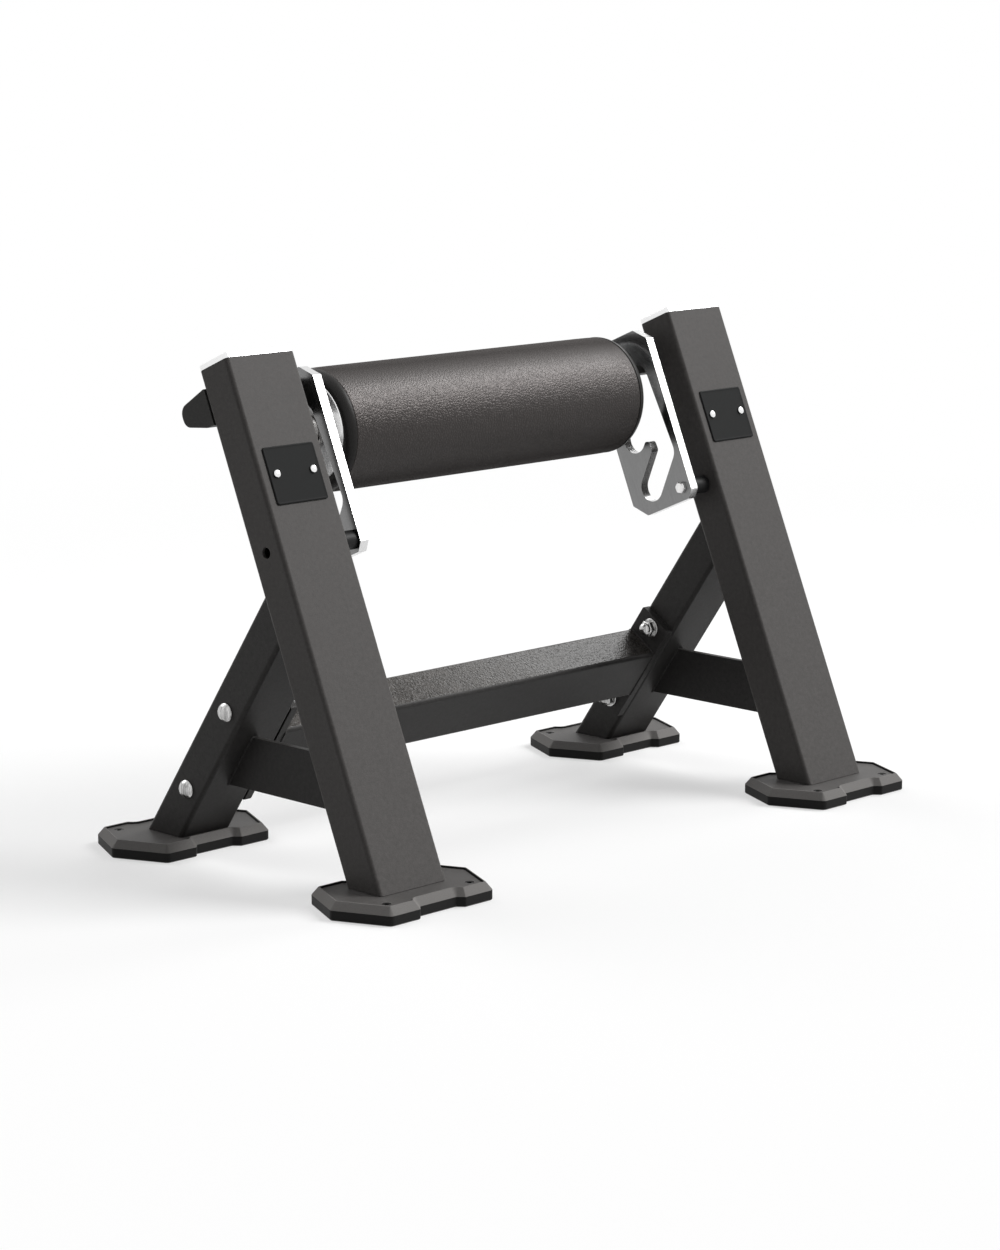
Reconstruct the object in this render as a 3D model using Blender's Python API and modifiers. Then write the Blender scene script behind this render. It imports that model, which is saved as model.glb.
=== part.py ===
"""Bulgarian split squat bench.

Two side frames, each a leaning post braced by a rear leg and a flat tie bar, stand on shod feet and
are joined by a crossbar. A padded roller hangs between them: its axle rests in the three-notch slot
of a steel plate bolted inside each post, so that it can be set at three heights.

Metres, +Z up, +X to the right, +Y to the rear. The origin is on the floor, below the middle.
"""

from math import atan2, ceil, cos, pi, radians, sin, tan

import bmesh
import bpy
from mathutils import Matrix, Vector

FIT = 0.0003                       # gap left between pieces that touch
SIDES = {"left": -1, "right": 1}

# Side frames
SPAN = 0.720                       # between the middle planes of the two side frames
TUBE_FOOT = 0.0186                 # height of the tubes' lower ends
POST_FRONT = -0.2039               # y of the posts' front face at that height
POST_LEAN = radians(23.17)         # to the rear
POST_WIDTH = 0.100
POST_DEPTH = 0.050
POST_LENGTH = 0.613
LEG_HEEL = 0.2062                  # y of the legs' rear face at the tubes' foot
LEG_LEAN = radians(35.05)          # to the front
LEG_WIDTH = 0.075
LEG_DEPTH = 0.050
WALL = 0.004
TUBE_CORNER = 0.005
BORE_CORNER = 0.0015
TIE_BOTTOM = 0.084
TIE_TOP = 0.146
TIE_THICKNESS = 0.008
EDGE_BREAK = 0.0008                # on flat bars and plates

# Post caps
CAP_THICKNESS = 0.0065
CAP_CHAMFER = 0.0012
CAP_PLUG = 0.014
CAP_WALL = 0.003
CAP_DRAFT = 0.0004

# Crossbar, square to the legs and flush with them
CROSSBAR_UP = 0.1527               # its middle, along the legs from their heel
CROSSBAR_HEIGHT = 0.075
END_PLATE_HEIGHT = 0.150
END_PLATE_THICKNESS = 0.010
BOLT_SPACING = 0.123
BOLT_DEPTH = 0.026                 # of the bolts, in front of the legs' rear face
BOLT_RADIUS = 0.006
BOLT_HOLE = 0.0063
BOLT_HEAD_RADIUS = 0.0115
BOLT_HEAD_RIM = 0.0008
BOLT_DOME = 0.0064
BOLT_REACH = 0.0118                # into the cap nut
WASHER_RADIUS = 0.012
WASHER_THICKNESS = 0.0025
NUT_APOTHEM = 0.009
NUT_SHOULDER = 0.0105              # top of its hexagon
NUT_DOME_RADIUS = 0.0082
NUT_DOME = 0.0075
NUT_BORE = 0.0125

# Feet
FOOT_SPACING = 0.3709
FOOT_HALF_LENGTH = 0.106           # to its pointed sides
FOOT_EDGE = 0.0764                 # half-length of its straight edges
FOOT_HALF_DEPTH = 0.0644
WAIST_OUTER = 0.034
WAIST_INNER = 0.027
WAIST_DEPTH = 0.008
SHOE_WALL_HEIGHT = 0.0115
SHOE_HEIGHT = 0.0205
SHOE_BEVEL = 0.0074
SHOE_RIDGE = 0.0012
SHOE_FLOOR = 0.0120
RECESS_DRAFT = 0.0008
BASE_THICKNESS = 0.0060
SCREW_X = 0.0623
SCREW_Y = 0.0413
SCREW_HEAD = 0.0050
SCREW_HEAD_DEPTH = 0.0030
SCREW_SUNK = 0.0004
SCREW_RADIUS = 0.0030
SCREW_LENGTH = 0.0120

# Slotted plates, in the posts' own frame: y to the rear of the front face, z up along the post
PLATE_THICKNESS = 0.012
PLATE_GAP = 0.027                  # from the post's inner face
PLATE_FRONT = 0.0115
PLATE_REAR = 0.113
PLATE_BOTTOM = 0.380
PLATE_TOP = 0.602
PLATE_ROUND = 0.003
CLIP_LOWER_FRONT = (0.0085, 0.010)  # clipped corners, along y and z
CLIP_LOWER_REAR = (0.020, 0.018)
CLIP_UPPER_REAR = (0.018, 0.018)
CLIP_UPPER_FRONT = (0.0185, 0.016)
SLOT_RADIUS = 0.0175
CHANNEL_BOTTOM = Vector((0.038, 0.447))
CHANNEL_TOP = Vector((0.0455, 0.5445))
TOP_NOTCH = Vector((0.084, 0.540))
MIDDLE_NOTCH = Vector((0.079, 0.4755))
LOWEST_NOTCH = Vector((0.074, 0.411))
FINGER_ROUND = 0.0045
ROOT_ROUND = 0.006
LUG_TOP = 0.5940                   # where the brackets meet the posts' backs
LUG_BOTTOM = 0.5518
LUG_BEND = 0.0615
LUG_REAR = 0.0985
LUG_NOSE_BOTTOM = 0.5641
LUG_NOSE_TOP = 0.5857
LUG_NOSE_RADIUS = 0.012
PLATE_BOLT = Vector((0.025, 0.396))
PLATE_BOLT_RADIUS = 0.004
PLATE_BOLT_HOLE = 0.0043
PLATE_BOLT_APOTHEM = 0.0065
PLATE_BOLT_HEAD = 0.0055
PLATE_BOLT_CHAMFER = 0.0006
PLATE_BOLT_LENGTH = 0.050
ACCESS_HOLE = 0.0063               # opposite each of them, in the posts' outer walls
SPACER_RADIUS = 0.011

# Roller, at rest in the top notch
AXLE_SEAT = TOP_NOTCH + Vector((0.0005, -0.0011))
AXLE_RADIUS = 0.016
AXLE_SHOULDER = 0.020
AXLE_CHAMFER = 0.001
AXLE_PLAY = 0.0005                 # between its shoulders and the slotted plates
ROLLER_HALF = 0.249
ROLLER_RADIUS = 0.0725
PAD_CROWN = 0.0004
PAD_SHOULDER = ((0.0020, 0.0), (0.0007, 0.0006))  # drawn in at its ends, by radius and length
PAD_SHOULDER_LENGTH = 0.002
RING_LENGTH = 0.0125
RING_END_RADIUS = 0.0614
RING_STEPS = 5
DISC_RADIUS = 0.0605
DISC_THICKNESS = 0.004
CORE_RADIUS = 0.0445
CORE_WALL = 0.003
BEARING_WIDTH = 0.018
BEARING_SUNK = 0.002
ROUND = 40                         # sides of the roller

# Badges on the posts' front faces
BADGE_UP = 0.4745
BADGE_WIDTH = 0.0745
BADGE_HEIGHT = 0.066
BADGE_THICKNESS = 0.0015
RIVET_X = 0.0267
RIVET_UP = 0.4765
RIVET_RADIUS = 0.0046
RIVET_RIM = 0.0005
RIVET_DOME = 0.0022
RIVET_SHANK = 0.0024
RIVET_LENGTH = 0.0048

# Colour (linear), roughness and metallic value of each kind of sub-part
FINISHES = {
    "post": ((0.120, 0.115, 0.112), 0.45, 0.0),
    "post_cap": ((0.80, 0.80, 0.80), 0.18, 1.0),
    "leg": ((0.105, 0.101, 0.098), 0.45, 0.0),
    "tie_bar": ((0.090, 0.087, 0.085), 0.45, 0.0),
    "crossbar": ((0.130, 0.120, 0.108), 0.45, 0.0),
    "crossbar_plate": ((0.110, 0.106, 0.102), 0.45, 0.0),
    "bolt": ((0.72, 0.71, 0.69), 0.22, 1.0),
    "nut": ((0.72, 0.71, 0.69), 0.22, 1.0),
    "shoe": ((0.075, 0.073, 0.070), 0.60, 0.0),
    "base_plate": ((0.160, 0.155, 0.150), 0.50, 0.0),
    "screw": ((0.030, 0.030, 0.030), 0.40, 1.0),
    "notch_plate": ((0.62, 0.61, 0.60), 0.15, 1.0),
    "bracket": ((0.060, 0.058, 0.056), 0.45, 0.0),
    "spacer": ((0.020, 0.020, 0.020), 0.50, 0.0),
    "badge": ((0.030, 0.031, 0.031), 0.35, 0.0),
    "rivet": ((0.85, 0.85, 0.85), 0.15, 1.0),
    "axle": ((0.62, 0.61, 0.60), 0.20, 1.0),
    "core": ((0.30, 0.30, 0.30), 0.40, 1.0),
    "pad": ((0.040, 0.038, 0.036), 0.50, 0.0),
    "end_ring": ((0.015, 0.015, 0.015), 0.25, 0.0),
    "end_disc": ((0.80, 0.80, 0.80), 0.12, 1.0),
    "bearing": ((0.55, 0.55, 0.55), 0.30, 1.0),
}

ON_EDGE = (pi / 2, 0, pi / 2)      # turns a shape drawn in XY upright, into YZ, its thickness along X


def new_collection(name):
    """A collection in the scene."""
    collection = bpy.data.collections.new(name)
    bpy.context.scene.collection.children.link(collection)
    return collection


for leftover in list(bpy.data.objects):
    bpy.data.objects.remove(leftover, do_unlink=True)
PARTS = new_collection("split_squat_bench")
CUTTERS = new_collection("cutters")
MATERIALS = {}


# Outlines

def rounded(corners, step=radians(30)):
    """A closed outline through corners (x, y, radius), each rounded by an arc of its radius."""
    points = []
    for index, (x, y, radius) in enumerate(corners):
        corner = Vector((x, y))
        back = (Vector(corners[index - 1][:2]) - corner).normalized()
        ahead = (Vector(corners[(index + 1) % len(corners)][:2]) - corner).normalized()
        half = back.angle(ahead) / 2
        centre = corner + (back + ahead).normalized() * radius / sin(half)
        spoke = corner + back * radius / tan(half) - centre
        turn = pi - 2 * half
        if back.x * ahead.y - back.y * ahead.x > 0:
            turn = -turn
        steps = max(2, ceil(abs(turn) / step))
        for count in range(steps + 1):
            point = centre + Matrix.Rotation(turn * count / steps, 2) @ spoke
            if not points or (point - points[-1]).length > 1e-5:
                points.append(point)
    if (points[0] - points[-1]).length < 1e-5:
        points.pop()
    return points


def rectangle(width, height, radius):
    """Corners of a centred rectangle, for rounded()."""
    x, y = width / 2, height / 2
    return [(sx * x, sy * y, radius) for sx, sy in ((1, 1), (-1, 1), (-1, -1), (1, -1))]


def meeting(point, direction, other, other_direction):
    """Where two lines in the plane cross."""
    gap = other - point
    cross = direction.x * other_direction.y - direction.y * other_direction.x
    along = (gap.x * other_direction.y - gap.y * other_direction.x) / cross
    return point + direction * along


def inset(corners, distance):
    """The corners of an outline, anticlockwise, moved inwards by a distance."""
    moved = []
    for index, (x, y, radius) in enumerate(corners):
        here = Vector((x, y))
        before = Vector(corners[index - 1][:2])
        after = Vector(corners[(index + 1) % len(corners)][:2])
        come = (here - before).normalized()
        go = (after - here).normalized()
        on_come = here + Vector((-come.y, come.x)) * distance
        on_go = here + Vector((-go.y, go.x)) * distance
        convex = come.x * go.y - come.y * go.x > 0
        new_radius = max(radius - distance, 0.0015) if convex else radius + distance
        moved.append((*meeting(on_come, come, on_go, go), new_radius))
    return moved


# Meshes

def evaluated_mesh(holder):
    """The mesh of an object with its modifiers applied; the object is removed."""
    CUTTERS.objects.link(holder)
    mesh = bpy.data.meshes.new_from_object(
        holder.evaluated_get(bpy.context.evaluated_depsgraph_get()))
    bpy.data.objects.remove(holder)
    shape = bmesh.new()
    shape.from_mesh(mesh)
    bmesh.ops.remove_doubles(shape, verts=shape.verts, dist=1e-6)
    bmesh.ops.recalc_face_normals(shape, faces=shape.faces)
    shape.to_mesh(mesh)
    shape.free()
    return mesh


def flat_solid(outlines, thickness, start=None):
    """A plate in XY from an outer outline and its holes; it starts at a height or is centred."""
    curve = bpy.data.curves.new("outline", "CURVE")
    curve.dimensions = "2D"
    curve.fill_mode = "BOTH"
    curve.extrude = thickness / 2
    for outline in outlines:
        spline = curve.splines.new("POLY")
        spline.points.add(len(outline) - 1)
        for point, (x, y) in zip(spline.points, outline):
            point.co = (x, y, 0, 1)
        spline.use_cyclic_u = True
    mesh = evaluated_mesh(bpy.data.objects.new("outline", curve))
    if start is not None:
        mesh.transform(Matrix.Translation((0, 0, start + thickness / 2)))
    return mesh


def turned_solid(profile, closed=False, segments=32):
    """A solid turned about Z from (radius, height) points that run down its outer side."""
    count = len(profile)
    edges = [(index, index + 1) for index in range(count - 1)]
    if closed:
        edges.append((count - 1, 0))
    mesh = bpy.data.meshes.new("profile")
    mesh.from_pydata([(radius, 0, height) for radius, height in profile], edges, [])
    holder = bpy.data.objects.new("profile", mesh)
    screw = holder.modifiers.new("turn", "SCREW")
    screw.steps = segments
    screw.render_steps = segments
    screw.use_merge_vertices = True
    screw.merge_threshold = 0.00001
    return evaluated_mesh(holder)


def flat_ring(outer, bore, thickness, segments):
    """A flat ring along Z, centred."""
    half = thickness / 2
    return turned_solid([(outer, half), (outer, -half), (bore, -half), (bore, half)], closed=True,
                        segments=segments)


def cylinder(radius, length, segments):
    """A cylinder along Z, centred."""
    shape = bmesh.new()
    bmesh.ops.create_cone(shape, cap_ends=True, segments=segments, radius1=radius,
                          radius2=radius, depth=length)
    mesh = bpy.data.meshes.new("cylinder")
    shape.to_mesh(mesh)
    shape.free()
    return mesh


def mitre(mesh, middle, slope_below, slope_above):
    """Slides a tube's ends along Z onto planes that rise with Y, one for each end."""
    for vertex in mesh.vertices:
        slope = slope_above if vertex.co.z > middle else slope_below
        vertex.co.z += slope * vertex.co.y


def tube_mesh(width, depth, length):
    """A rectangular tube along Z, standing on XY, its walls and corners at the common size."""
    outer = rounded(rectangle(width, depth, TUBE_CORNER), radians(24))
    bore = rounded(rectangle(width - 2 * WALL, depth - 2 * WALL, BORE_CORNER), radians(50))
    return flat_solid([outer, bore], length, start=0)


def lofted_solid(sections):
    """A closed solid through outlines of equal count, given as (outline, height) in turn."""
    shape = bmesh.new()
    loops = [[shape.verts.new((x, y, height)) for x, y in outline]
             for outline, height in sections]
    for loop, following in zip(loops, loops[1:]):
        for index in range(len(loop)):
            shape.faces.new((loop[index - 1], loop[index], following[index],
                             following[index - 1]))
    shape.faces.new(reversed(loops[0]))
    shape.faces.new(loops[-1])
    mesh = bpy.data.meshes.new("loft")
    shape.to_mesh(mesh)
    shape.free()
    return mesh


def dome(radius, rim, height, steps):
    """Profile of a dome, from its pole down to its rim."""
    angles = [pi / 2 * index / steps for index in range(steps + 1)]
    return [(radius * sin(angle), rim + height * cos(angle)) for angle in angles]


def hexagonal(mesh, apothem):
    """Turns the band of a turned solid that has this radius into a hexagon across flats."""
    for vertex in mesh.vertices:
        flat = Vector((vertex.co.x, vertex.co.y))
        if abs(flat.length - apothem) < 1e-6:
            angle = atan2(flat.y, flat.x) % (pi / 3) - pi / 6
            vertex.co.x /= cos(angle)
            vertex.co.y /= cos(angle)


def bevel(obj, width):
    """Breaks an object's sharp edges."""
    modifier = obj.modifiers.new("edges", "BEVEL")
    modifier.width = width
    modifier.segments = 1
    modifier.limit_method = "ANGLE"
    modifier.angle_limit = radians(60)


# Objects

def finish(kind):
    """The material of one kind of sub-part."""
    if kind not in MATERIALS:
        colour, roughness, metallic = FINISHES[kind]
        material = bpy.data.materials.new(kind)
        material.use_nodes = True
        shader = material.node_tree.nodes["Principled BSDF"]
        shader.inputs["Base Color"].default_value = (*colour, 1)
        shader.inputs["Roughness"].default_value = roughness
        shader.inputs["Metallic"].default_value = metallic
        MATERIALS[kind] = material
    return MATERIALS[kind]


def place(name, mesh, kind, parent=None, location=(0, 0, 0), rotation=(0, 0, 0)):
    """Adds a sub-part to the bench."""
    obj = bpy.data.objects.new(name, mesh)
    PARTS.objects.link(obj)
    obj.parent = parent
    obj.location = location
    obj.rotation_euler = rotation
    if not mesh.materials:
        mesh.materials.append(finish(kind))
        mesh.shade_smooth()
        mesh.set_sharp_from_angle(angle=radians(32))
    return obj


def empty(name, location, rotation=(0, 0, 0), parent=None):
    """A frame that sub-parts are placed in."""
    frame = bpy.data.objects.new(name, None)
    frame.empty_display_size = 0.05
    PARTS.objects.link(frame)
    frame.parent = parent
    frame.location = location
    frame.rotation_euler = rotation
    return frame


def cut(name, mesh, targets, parent=None, location=(0, 0, 0), rotation=(0, 0, 0)):
    """Cuts a shape out of sub-parts."""
    cutter = bpy.data.objects.new(name, mesh)
    CUTTERS.objects.link(cutter)
    cutter.parent = parent
    cutter.location = location
    cutter.rotation_euler = rotation
    cutter.hide_render = True
    cutter.display_type = "WIRE"
    for target in targets:
        boolean = target.modifiers.new(name, "BOOLEAN")
        boolean.operation = "DIFFERENCE"
        boolean.solver = "EXACT"
        boolean.object = cutter


# Side frames

def post_mesh():
    """Post in its own frame: front face at y = 0, foot cut level, top cut square."""
    mesh = tube_mesh(POST_WIDTH, POST_DEPTH, POST_LENGTH)
    mesh.transform(Matrix.Translation((0, POST_DEPTH / 2, 0)))
    mitre(mesh, POST_LENGTH / 2, tan(POST_LEAN), 0)
    return mesh


def leg_mesh():
    """Leg in its own frame: rear face at y = 0, foot cut level, top mitred to the post's back."""
    open_angle = LEG_LEAN + POST_LEAN
    reach = (LEG_HEEL - POST_FRONT) * cos(POST_LEAN) - POST_DEPTH - FIT
    length = reach / sin(open_angle)
    mesh = tube_mesh(LEG_WIDTH, LEG_DEPTH, length)
    mesh.transform(Matrix.Translation((0, -LEG_DEPTH / 2, 0)))
    mitre(mesh, length / 2, -tan(LEG_LEAN), 1 / tan(open_angle))
    return mesh


def cap_mesh():
    """Post cap: a lid with broken edges and a hollow plug below it, the post's top at z = 0."""
    lid = rectangle(POST_WIDTH, POST_DEPTH, TUBE_CORNER)

    def section(distance, height):
        return rounded(inset(lid, distance)), height

    plug = WALL + FIT
    return lofted_solid([section(plug + CAP_WALL, 0), section(plug + CAP_WALL, -CAP_PLUG),
                         section(plug + CAP_DRAFT, -CAP_PLUG), section(plug, 0), section(0, 0),
                         section(0, CAP_THICKNESS - CAP_CHAMFER),
                         section(CAP_CHAMFER, CAP_THICKNESS)])


def tie_outline():
    """The tie bar's side view: its ends lie on the post's back and on the leg's front."""
    post_slope = Vector((sin(POST_LEAN), cos(POST_LEAN)))
    post_back = Vector((POST_FRONT + (POST_DEPTH + FIT) / cos(POST_LEAN), TUBE_FOOT))
    leg_slope = Vector((-sin(LEG_LEAN), cos(LEG_LEAN)))
    leg_front = Vector((LEG_HEEL - (LEG_DEPTH + FIT) / cos(LEG_LEAN), TUBE_FOOT))
    level = Vector((1, 0))
    low, high = Vector((0, TIE_BOTTOM)), Vector((0, TIE_TOP))
    return [meeting(low, level, post_back, post_slope), meeting(low, level, leg_front, leg_slope),
            meeting(high, level, leg_front, leg_slope), meeting(high, level, post_back, post_slope)]


def add_side_frames():
    """Posts with their caps, legs and tie bars; returns the posts' and legs' frames by side."""
    meshes = {"post": post_mesh(), "leg": leg_mesh(), "cap": cap_mesh(),
              "tie": flat_solid([tie_outline()], TIE_THICKNESS)}
    frames = {}
    for side, sign in SIDES.items():
        x = sign * SPAN / 2
        post_axis = empty(f"{side}_post_axis", (x, POST_FRONT, TUBE_FOOT), (-POST_LEAN, 0, 0))
        leg_axis = empty(f"{side}_leg_axis", (x, LEG_HEEL, TUBE_FOOT), (LEG_LEAN, 0, 0))
        place(f"{side}_post", meshes["post"], "post", post_axis)
        place(f"{side}_post_cap", meshes["cap"], "post_cap", post_axis,
              (0, POST_DEPTH / 2, POST_LENGTH + FIT))
        place(f"{side}_rear_leg", meshes["leg"], "leg", leg_axis)
        tie = place(f"{side}_tie_bar", meshes["tie"], "tie_bar", None, (x, 0, 0), ON_EDGE)
        bevel(tie, EDGE_BREAK)
        frames[side] = (post_axis, leg_axis)
    return frames


# Feet

def foot_corners():
    """Corners of a foot's outline: pointed sides and a shallow waist in each long edge."""
    quarter = [(FOOT_HALF_LENGTH, 0, 0.006), (FOOT_EDGE, FOOT_HALF_DEPTH, 0.007),
               (WAIST_OUTER, FOOT_HALF_DEPTH, 0.003),
               (WAIST_INNER, FOOT_HALF_DEPTH - WAIST_DEPTH, 0.003)]
    rear_left = [(-x, y, radius) for x, y, radius in reversed(quarter[1:])]
    front = [(-x, -y, radius) for x, y, radius in quarter + rear_left]
    return quarter + rear_left + front


def shoe_mesh():
    """Shoe: a tray with an upright wall, a wide bevel, a thin ridge and a recess for the base."""
    def section(distance, height):
        return rounded(inset(foot_corners(), distance)), height

    ridge = SHOE_BEVEL + SHOE_RIDGE
    return lofted_solid([section(0, 0), section(0, SHOE_WALL_HEIGHT),
                         section(SHOE_BEVEL, SHOE_HEIGHT), section(ridge, SHOE_HEIGHT),
                         section(ridge + RECESS_DRAFT, SHOE_FLOOR)])


def screw_mesh(room=0.0):
    """Flat-headed base screw, its seat plane at z = 0, or with room its hole's cutter."""
    head = SCREW_HEAD + room
    shank = SCREW_RADIUS + room
    rise = SCREW_LENGTH / 3 if room else -SCREW_SUNK
    under = -SCREW_HEAD_DEPTH - room
    tip = -SCREW_LENGTH - room
    return turned_solid([(0, rise), (head, rise), (head, under), (shank, under), (shank, tip),
                         (0, tip)], segments=12)


def add_feet():
    """Four alike feet, the rear ones turned round: rubber shoe, steel base and two screws."""
    shoe = shoe_mesh()
    clearance = SHOE_BEVEL + SHOE_RIDGE + RECESS_DRAFT + FIT
    base = flat_solid([rounded(inset(foot_corners(), clearance))], BASE_THICKNESS, start=0)
    screw = screw_mesh()
    hole = screw_mesh(FIT)
    base_z = SHOE_FLOOR + FIT
    for side, sign in SIDES.items():
        for row, facing in (("front", -1), ("rear", 1)):
            turn = 0 if row == "front" else pi
            foot = empty(f"{side}_{row}_foot", (sign * SPAN / 2, facing * FOOT_SPACING / 2, 0),
                         (0, 0, turn))
            tray = place(f"{side}_{row}_shoe", shoe, "shoe", foot)
            plate = place(f"{side}_{row}_base", base, "base_plate", foot, (0, 0, base_z))
            for end, x in (("inner", -sign * facing), ("outer", sign * facing)):
                spot = (-x * SCREW_X, -SCREW_Y, base_z + BASE_THICKNESS)
                label = f"{side}_{row}_{end}"
                place(f"{label}_base_screw", screw, "screw", foot, spot)
                cut(f"{label}_screw_hole", hole, (tray, plate), foot, spot)


# Crossbar

def bolt_mesh(length):
    """Domed bolt along Z, the seat of its head at z = 0 and its shank below."""
    head = dome(BOLT_HEAD_RADIUS, BOLT_HEAD_RIM, BOLT_DOME, 4)
    return turned_solid(head + [(BOLT_HEAD_RADIUS, 0), (BOLT_RADIUS, 0), (BOLT_RADIUS, -length),
                                (0, -length)], segments=18)


def nut_mesh():
    """Domed cap nut with its washer: seat at z = 0, blind bore, hexagon below the dome."""
    body = [(NUT_APOTHEM, NUT_SHOULDER), (NUT_APOTHEM, WASHER_THICKNESS),
            (WASHER_RADIUS, WASHER_THICKNESS), (WASHER_RADIUS, 0), (BOLT_HOLE, 0),
            (BOLT_HOLE, NUT_BORE), (0, NUT_BORE)]
    mesh = turned_solid(dome(NUT_DOME_RADIUS, NUT_SHOULDER, NUT_DOME, 4) + body, segments=18)
    hexagonal(mesh, NUT_APOTHEM)
    return mesh


def add_crossbar(frames):
    """Crossbar with its end plates, bolted through the legs with domed bolts and cap nuts."""
    inner = SPAN / 2 - LEG_WIDTH / 2
    half_length = inner - END_PLATE_THICKNESS - 2 * FIT
    left_leg = frames["left"][1]
    outer = rounded(rectangle(LEG_DEPTH, CROSSBAR_HEIGHT, TUBE_CORNER), radians(24))
    bore = rectangle(LEG_DEPTH - 2 * WALL, CROSSBAR_HEIGHT - 2 * WALL, BORE_CORNER)
    bar = flat_solid([outer, rounded(bore, radians(50))], 2 * half_length)
    place("crossbar", bar, "crossbar", left_leg, (SPAN / 2, -LEG_DEPTH / 2, CROSSBAR_UP), ON_EDGE)
    plate = flat_solid([rounded(rectangle(LEG_DEPTH, END_PLATE_HEIGHT, 0.003))],
                       END_PLATE_THICKNESS)
    nut_seat = inner - FIT - END_PLATE_THICKNESS - FIT
    head_seat = SPAN / 2 + LEG_WIDTH / 2 + FIT
    bolt = bolt_mesh(head_seat - nut_seat + BOLT_REACH)
    nut = nut_mesh()
    hole = cylinder(BOLT_HOLE, LEG_WIDTH + 3 * END_PLATE_THICKNESS, 18)
    for side, sign in SIDES.items():
        leg_axis = frames[side][1]
        leg = bpy.data.objects[f"{side}_rear_leg"]
        to_plate = sign * (inner - FIT - END_PLATE_THICKNESS / 2 - SPAN / 2)
        end = place(f"{side}_crossbar_plate", plate, "crossbar_plate", leg_axis,
                    (to_plate, -LEG_DEPTH / 2, CROSSBAR_UP), ON_EDGE)
        for level, up in (("lower", -BOLT_SPACING / 2), ("upper", BOLT_SPACING / 2)):
            y, z = -BOLT_DEPTH, CROSSBAR_UP + up
            outwards, inwards = (0, sign * pi / 2, 0), (0, -sign * pi / 2, 0)
            place(f"{side}_{level}_bolt", bolt, "bolt", leg_axis,
                  (sign * (head_seat - SPAN / 2), y, z), outwards)
            place(f"{side}_{level}_cap_nut", nut, "nut", leg_axis,
                  (sign * (nut_seat - SPAN / 2), y, z), inwards)
            cut(f"{side}_{level}_bolt_hole", hole, (leg, end), leg_axis,
                (-sign * END_PLATE_THICKNESS / 2, y, z), outwards)
        bevel(end, EDGE_BREAK)


# Slotted plates

def plate_outline():
    """A slotted plate's outline, with its clipped corners."""
    corners = []
    for along, up, (across, rise) in ((1, 1, CLIP_LOWER_FRONT), (-1, 1, CLIP_LOWER_REAR),
                                      (-1, -1, CLIP_UPPER_REAR), (1, -1, CLIP_UPPER_FRONT)):
        y = PLATE_FRONT if along > 0 else PLATE_REAR
        z = PLATE_BOTTOM if up > 0 else PLATE_TOP
        clip = [(y, z + up * rise, PLATE_ROUND), (y + along * across, z, PLATE_ROUND)]
        corners += clip if along == up else reversed(clip)
    return rounded(corners)


def slot_outline():
    """The slot: a channel with a branch down to each of two notches and one back to the third.

    Every straight edge lies one slot radius off a centre line, and the ends are half circles.
    """
    reach = SLOT_RADIUS * 0.9999

    def along(start, end):
        return (end - start).normalized()

    def left_of(direction):
        return Vector((-direction.y, direction.x))

    channel = along(CHANNEL_BOTTOM, CHANNEL_TOP)
    front = CHANNEL_BOTTOM + left_of(channel) * SLOT_RADIUS
    rear = CHANNEL_BOTTOM - left_of(channel) * SLOT_RADIUS
    top = along(CHANNEL_TOP, TOP_NOTCH)
    down = Vector((1, -1)).normalized()
    rise = left_of(down) * SLOT_RADIUS

    def branch_end(notch, direction):
        tip = notch + direction * SLOT_RADIUS
        side = left_of(direction) * SLOT_RADIUS
        return [(*(tip - side), reach), (*(tip + side), reach)]

    top_rise = left_of(top) * SLOT_RADIUS
    corners = [(*meeting(front, channel, CHANNEL_TOP + top_rise, top), reach)]
    corners.append((*meeting(front, channel, LOWEST_NOTCH - rise, down), reach))
    corners += branch_end(LOWEST_NOTCH, down)
    corners.append((*meeting(rear, channel, LOWEST_NOTCH + rise, down), ROOT_ROUND))
    corners.append((*meeting(rear, channel, MIDDLE_NOTCH - rise, down), FINGER_ROUND))
    corners += branch_end(MIDDLE_NOTCH, down)
    corners.append((*meeting(rear, channel, MIDDLE_NOTCH + rise, down), ROOT_ROUND))
    corners.append((*meeting(rear, channel, TOP_NOTCH - top_rise, top), FINGER_ROUND))
    corners += branch_end(TOP_NOTCH, top)
    return rounded(corners, radians(15))


def bracket_outline():
    """The bracket's side view: a lug that tapers to a rounded nose behind the post."""
    back = POST_DEPTH + FIT
    return rounded([(back, LUG_TOP, BORE_CORNER), (back, LUG_BOTTOM, BORE_CORNER),
                    (LUG_BEND, LUG_BOTTOM, LUG_NOSE_RADIUS),
                    (LUG_REAR, LUG_NOSE_BOTTOM, LUG_NOSE_RADIUS),
                    (LUG_REAR, LUG_NOSE_TOP, LUG_NOSE_RADIUS)], radians(20))


def plate_bolt_mesh():
    """Hexagon-headed bolt along Z, the seat of its head at z = 0 and its shank below."""
    flat = PLATE_BOLT_APOTHEM
    top = PLATE_BOLT_HEAD
    mesh = turned_solid([(0, top), (flat - PLATE_BOLT_CHAMFER, top),
                         (flat, top - PLATE_BOLT_CHAMFER), (flat, 0), (PLATE_BOLT_RADIUS, 0),
                         (PLATE_BOLT_RADIUS, -PLATE_BOLT_LENGTH), (0, -PLATE_BOLT_LENGTH)],
                        segments=18)
    hexagonal(mesh, flat)
    return mesh


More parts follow.
